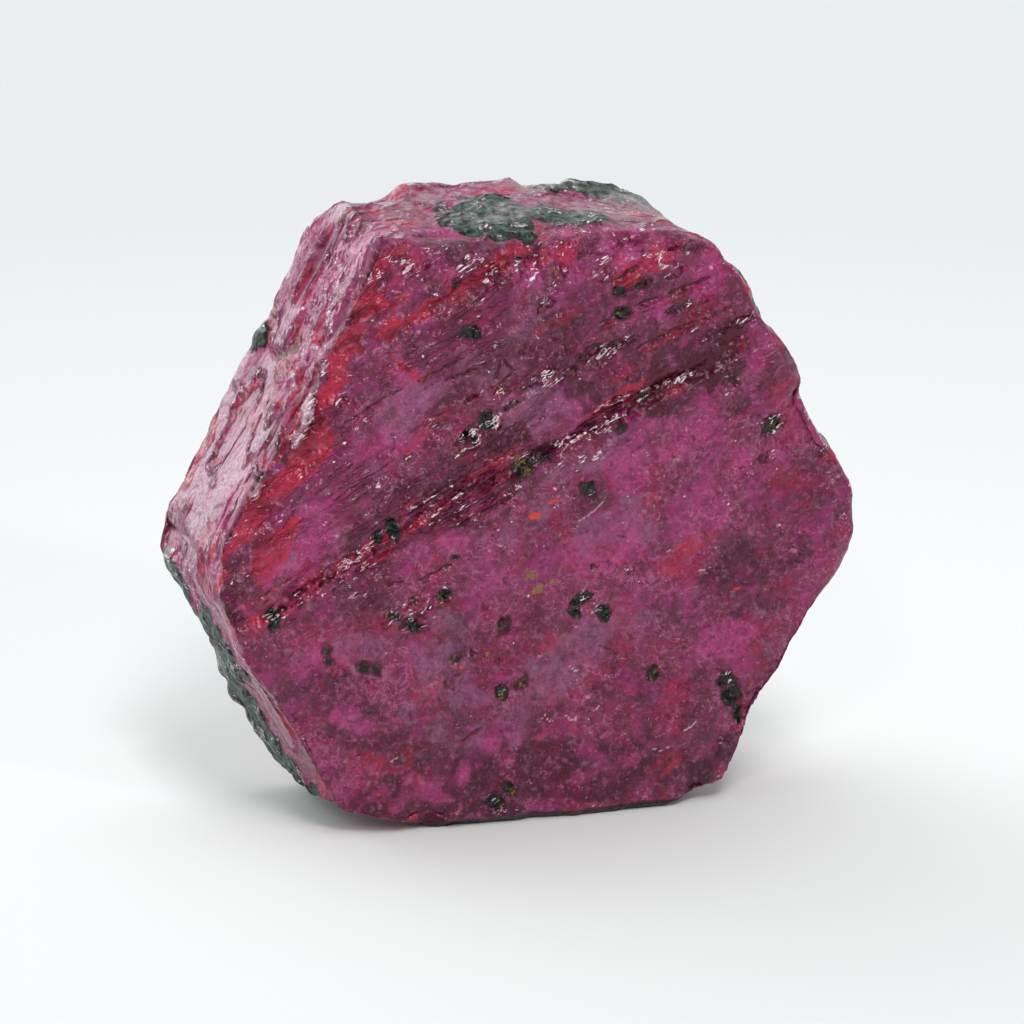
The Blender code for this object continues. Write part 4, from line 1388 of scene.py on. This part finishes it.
        # painted glints: white curls drawn along the fresh steps, broken up where there are none
        broken = add("TexNoise", {"Vector": place, "Scale": 1.0 / self.curl_gap, "Detail": 1.0})
        broken = add("Math", {0: broken, 1: self.curl_breaks, 2: spark}, operation="MULTIPLY_ADD")
        broken = add("MapRange", {"Value": broken, "From Min": self.curl_low, "From Max": self.curl_low + 0.12})
        painted_glint = self.threads(add, slanted, self.curl_size, self.curl_width, broken)
        for name, output in (
            ("Base Color", self.colour(add, place, slanted, crinkle, painted_glint)),
            ("Roughness", self.gloss(add, place, spark, polish, crust)),
            ("Normal", self.relief(add, place, crinkle, spark, polish)),
        ):
            tree.links.new(output, shader.inputs[name])
        return material

    def threads(self, add: Adder, where: Socket, size: float, width: float, top: Fed) -> Socket:
        """Draw thin wandering lines.

        Args:
            add: adds a node to the material.
            where: the point in millimetres.
            size: how far apart the lines wander, in millimetres.
            width: how thick they are, as a share of the pattern's rise.
            top: how strong they are.

        Returns:
            The top along each line, falling to 0 beside it.
        """
        pattern = {"Vector": where, "Scale": 1.0 / size, "Detail": 3.0, "Roughness": 0.55, "Distortion": 0.6}
        line = add("Math", {0: add("TexNoise", pattern), 1: 0.5}, operation="SUBTRACT")
        line = add("Math", {0: line}, operation="ABSOLUTE")
        return add("MapRange", {"Value": line, "From Max": width, "To Min": top, "To Max": 0.0}, **SMOOTH)

    def colour(self, add: Adder, place: Socket, slanted: Socket, crinkle: Socket, painted_glint: Socket) -> Socket:
        """Lay veins, silk, cracks and painted groove shade along the crinkles over the body colour, then every coat,
        then the painted glint curls.

        Args:
            add: adds a node to the material.
            place: the point in millimetres.
            slanted: the point turned and squeezed, so that blotches run along the growth slant.
            crinkle: 1 along the crinkles of the growth streaks, 0 away from them.
            painted_glint: 1 along the painted glint curls of the fresh steps, 0 away from them.

        Returns:
            The base colour.
        """
        warp = add("TexNoise", {"Vector": place, "Scale": self.warp_scale, "Detail": 4.0}, "Color")
        warped = add("VectorMath", {0: warp, 1: (self.warp,) * 3, 2: place}, operation="MULTIPLY_ADD")
        cells = {"Vector": warped, "Scale": 1.0 / self.vein_cell}
        edge = add("TexVoronoi", cells, "Distance", feature="DISTANCE_TO_EDGE")
        vein = {"Value": edge, "From Max": self.vein_width, "To Min": self.vein_share, "To Max": 0.0}
        layers = [
            (add("MapRange", vein, **SMOOTH), self.vein),
            (self.threads(add, place, self.silk_size, self.silk_width, self.silk_share), self.silk),
            (self.threads(add, place, self.crack_size, self.crack_width, self.crack_share), self.line),
            # painted shade along the crinkle grooves that the bump sinks
            (add("Math", {0: crinkle, 1: self.groove_shade_share}, operation="MULTIPLY"), self.line),
        ]
        for coat in self.coats():
            where = slanted if coat.slanted else place
            share = add("TexNoise", {"Vector": where, "Scale": 1.0 / coat.size, "Detail": 3.0, "Roughness": 0.55})
            if coat.mask:
                follow = add("Attribute", {}, "Fac", attribute_name=coat.mask.value)
                share = add("Math", {0: share, 1: -0.5}, operation="ADD")
                share = add("Math", {0: share, 1: coat.edge, 2: follow}, operation="MULTIPLY_ADD")
            shown = {"Value": share, "From Min": coat.low, "From Max": coat.high, "To Max": coat.top}
            layers.append((add("MapRange", shown, **SMOOTH), coat.colour))
        colour: Fed = linear(self.body)
        for share, own in (*layers, (painted_glint, self.painted_glint)):
            colour = add("Mix", {0: share, 6: colour, 7: linear(own)}, 2, data_type="RGBA")
        return colour

    def gloss(self, add: Adder, place: Socket, spark: Socket, polish: Socket, crust: Socket) -> Socket:
        """Make fresh steps and smooth planes shinier than the worn faces, and the crust duller.

        Args:
            add: adds a node to the material.
            place: the point in millimetres.
            spark: where the fresh steps are.
            polish: where the ground is smooth.
            crust: where the dark matrix is.

        Returns:
            The roughness.
        """
        patchy = add("TexNoise", {"Vector": place, "Scale": 0.7, "Detail": 3.0})
        limits = {"From Min": 0.35, "From Max": 0.65, "To Min": self.roughness_low, "To Max": self.roughness_high}
        worn = add("MapRange", {"Value": patchy, **limits})
        for share, own in (
            (polish, self.roughness_polished), (crust, self.roughness_matrix), (spark, self.roughness_spark),
        ):
            worn = add("MapRange", {"Value": share, "To Min": worn, "To Max": own})
        return worn

    def relief(self, add: Adder, place: Socket, crinkle: Socket, spark: Socket, polish: Socket) -> Socket:
        """Tilt tiny facets each their own way, then add soft waves, grain and crinkles.

        Args:
            add: adds a node to the material.
            place: the point in millimetres.
            crinkle: 1 along the crinkles of the growth streaks, 0 away from them.
            spark: where the fresh steps are.
            polish: where the ground is smooth.

        Returns:
            The normal.
        """
        facets = add("TexVoronoi", {"Vector": place, "Scale": 1.0 / self.facet_size}, "Color")
        tilt = add("MapRange", {"Value": spark, "To Min": self.facet_tilt, "To Max": self.facet_tilt_spark})
        facets = add("VectorMath", {0: facets, 1: self.facet_middle}, operation="SUBTRACT")
        facets = add("VectorMath", {0: facets, "Scale": tilt}, operation="SCALE")
        normal = add("VectorMath", {0: add("NewGeometry", {}, "Normal"), 1: facets}, operation="ADD")
        normal = add("VectorMath", {0: normal}, operation="NORMALIZE")
        high = add("MapRange", {"Value": spark, "To Min": self.wave_height, "To Max": self.wave_height_spark})
        high = add("MapRange", {"Value": polish, "To Min": high, "To Max": self.wave_polished})
        wave = add("TexNoise", {"Vector": place, "Scale": 1.0 / self.wave_size, "Detail": 1.5})
        grain = add("TexNoise", {"Vector": place, "Scale": 1.0 / self.grain_size, "Detail": 2.0})
        height = add("Math", {0: grain, 1: self.grain_height}, operation="MULTIPLY")
        for share, own in ((wave, high), (crinkle, -self.groove_depth)):
            height = add("Math", {0: share, 1: own, 2: height}, operation="MULTIPLY_ADD")
        return add("Bump", {"Height": height, "Strength": 1.0, "Distance": MM, "Normal": normal})


# ---- Studio ----


@dataclass
class Studio:
    """A pale floor, soft light from above and round, small lamps for glints, and the camera.

    Attributes:
        azimuth: where the camera stands round the crystal, in degrees.
        elevation: how far it stands above the horizon, in degrees.
        distance: from the camera to the point that it looks at, in millimetres.
        sight: the point at the middle of the picture, in millimetres.
        lens: the camera's focal length, in millimetres, for a sensor of sensor_width millimetres.
        lamps: the name, azimuth, elevation, width and strength of each.
        tent: the way in which the surroundings grow brighter, the cosines where that starts and ends, and the
            strength at each.
        window: the same for a bright window in them.
        near_floor: how far from the crystal the painted dimming of the floor starts, in metres.
        far_floor: where that painted dimming is strongest, in metres.
    """

    azimuth: float = -19.0
    elevation: float = 15.5
    distance: float = 483.6
    sight: tuple = (-1.19, -4.51, 17.16)
    lens: float = 316.4
    sensor_width: float = 36.0
    lamps: tuple = (
        ("soft box in front", -8.0, 45.0, 13.0, 1.10),
        ("small lamp at the right", 22.0, 26.0, 6.0, 0.34),
        ("small lamp at the left", -30.0, 32.0, 6.0, 0.24),
        ("small high lamp", -5.0, 62.0, 7.0, 0.28),
        ("wide panel over the back", -160.0, 76.0, 45.0, 0.40),
    )
    tent: tuple = ((0.0, 1.0, 0.0), -0.8, 0.6, 0.28, 0.80)
    window: tuple = ((-0.42, 0.90, 0.12), 0.66, 0.96, 0.0, 2.4)
    tent_colour: str = "#f4f7f8"
    floor_side: float = 3.0
    near_floor: float = 0.02
    far_floor: float = 0.14
    floor_colour: str = "#e9ebea"
    far_floor_shade_colour: str = "#d6d8da"
    paper_roughness: float = 0.9
    paper_shine: float = 0.1

    def build(self) -> None:
        """Make the floor, the lights, the surroundings and the camera."""
        self.make_floor()
        self.make_camera()
        for name, azimuth, elevation, width, strength in self.lamps:
            self.make_lamp(name, azimuth, elevation, width, strength)
        self.make_world()
        bpy.context.scene.view_settings.view_transform = "Standard"

    def make_floor(self) -> None:
        """Lay a wide plain floor, its colour painted darker away from the crystal as a falloff of the light."""
        bm = bmesh.new()
        bmesh.ops.create_grid(bm, x_segments=8, y_segments=8, size=self.floor_side / 2)
        mesh = bpy.data.meshes.new("studio_floor")
        bm.to_mesh(mesh)
        bm.free()
        floor = bpy.data.objects.new("studio_floor", mesh)
        bpy.context.scene.collection.objects.link(floor)
        # matt paper, smooth from the mill: it shows only soft shade, and no shine
        material = bpy.data.materials.new("matt white paper sweep")
        material.use_nodes = True
        tree = material.node_tree
        shader = tree.nodes["Principled BSDF"]
        add = partial(add_node, tree)
        # painted falloff of light: the paper's colour darkens away from the crystal
        away = add("VectorMath", {0: add("TexCoord", {}, "Object")}, "Value", operation="LENGTH")
        away = add("MapRange", {"Value": away, "From Min": self.near_floor, "From Max": self.far_floor})
        colours = {0: away, 6: linear(self.floor_colour), 7: linear(self.far_floor_shade_colour)}
        tree.links.new(add("Mix", colours, 2, data_type="RGBA"), shader.inputs["Base Color"])
        shader.inputs["Roughness"].default_value = self.paper_roughness
        shader.inputs["Specular IOR Level"].default_value = self.paper_shine
        mesh.materials.append(material)

    def make_lamp(self, name: str, azimuth: float, elevation: float, width: float, strength: float) -> None:
        """Set up a lamp far off, so that its light is even over the whole floor.

        Args:
            name: the lamp's name.
            azimuth: where it stands round the crystal, in degrees from the front.
            elevation: how high it stands, in degrees.
            width: how wide it looks from the crystal, in degrees.
            strength: its light on a surface that faces it, in watts per square metre.
        """
        light = bpy.data.lights.new(name, "SUN")
        light.angle = math.radians(width)
        light.energy = strength
        lamp = bpy.data.objects.new(name, light)
        lamp.rotation_euler = self.direction(azimuth, elevation).to_track_quat("Z", "Y").to_euler()
        bpy.context.scene.collection.objects.link(lamp)

    def direction(self, azimuth: float, elevation: float) -> Vector:
        """Return the way from the crystal to what stands at an azimuth and elevation, of length 1."""
        turn, rise = math.radians(azimuth), math.radians(elevation)
        return Vector((math.sin(turn) * math.cos(rise), -math.cos(turn) * math.cos(rise), math.sin(rise)))

    def make_world(self) -> None:
        """Surround the crystal with white that is dimmer where the camera stands."""
        world = bpy.data.worlds.new("white tent")
        bpy.context.scene.world = world
        world.use_nodes = True
        tree = world.node_tree
        add = partial(add_node, tree)
        place = add("TexCoord", {}, "Generated")
        lights = []
        for way, low, high, dim, bright in (self.tent, self.window):
            toward = add("VectorMath", {0: place, 1: way}, "Value", operation="DOT_PRODUCT")
            reach = {"Value": toward, "From Min": low, "From Max": high, "To Min": dim, "To Max": bright}
            lights.append(add("MapRange", reach, **SMOOTH))
        background = tree.nodes["Background"]
        background.inputs["Color"].default_value = linear(self.tent_colour)
        tree.links.new(add("Math", {0: lights[0], 1: lights[1]}, operation="ADD"), background.inputs["Strength"])

    def make_camera(self) -> None:
        """Set up the camera with a long lens."""
        back = self.direction(self.azimuth, self.elevation)
        data = bpy.data.cameras.new("camera")
        data.lens = self.lens
        data.sensor_width = self.sensor_width
        data.clip_start = 0.01
        data.clip_end = 20.0
        camera = bpy.data.objects.new("camera", data)
        camera.location = (Vector(self.sight) + back * self.distance) * MM
        camera.rotation_mode = "QUATERNION"
        camera.rotation_quaternion = (-back).to_track_quat("-Z", "Y")
        bpy.context.scene.collection.objects.link(camera)
        bpy.context.scene.camera = camera


def main() -> None:
    """Build the studio and the crystal, fitted into the solid's box, and hide the solid."""
    logging.basicConfig(level=logging.INFO, format="%(name)s: %(message)s")
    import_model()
    low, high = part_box(NODE)
    Studio().build()
    crystal = RubyCrystal().build(low, high)
    crystal.data.materials.append(RoughCorundum().material())
    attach(crystal, BODY)
    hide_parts(NODE)
    LOG.info("%s: %d points", crystal.name, len(crystal.data.vertices))
    crystal.data.calc_loop_triangles()
    LOG.info("%s: %d triangles", crystal.name, len(crystal.data.loop_triangles))


if __name__ == "__main__":
    main()
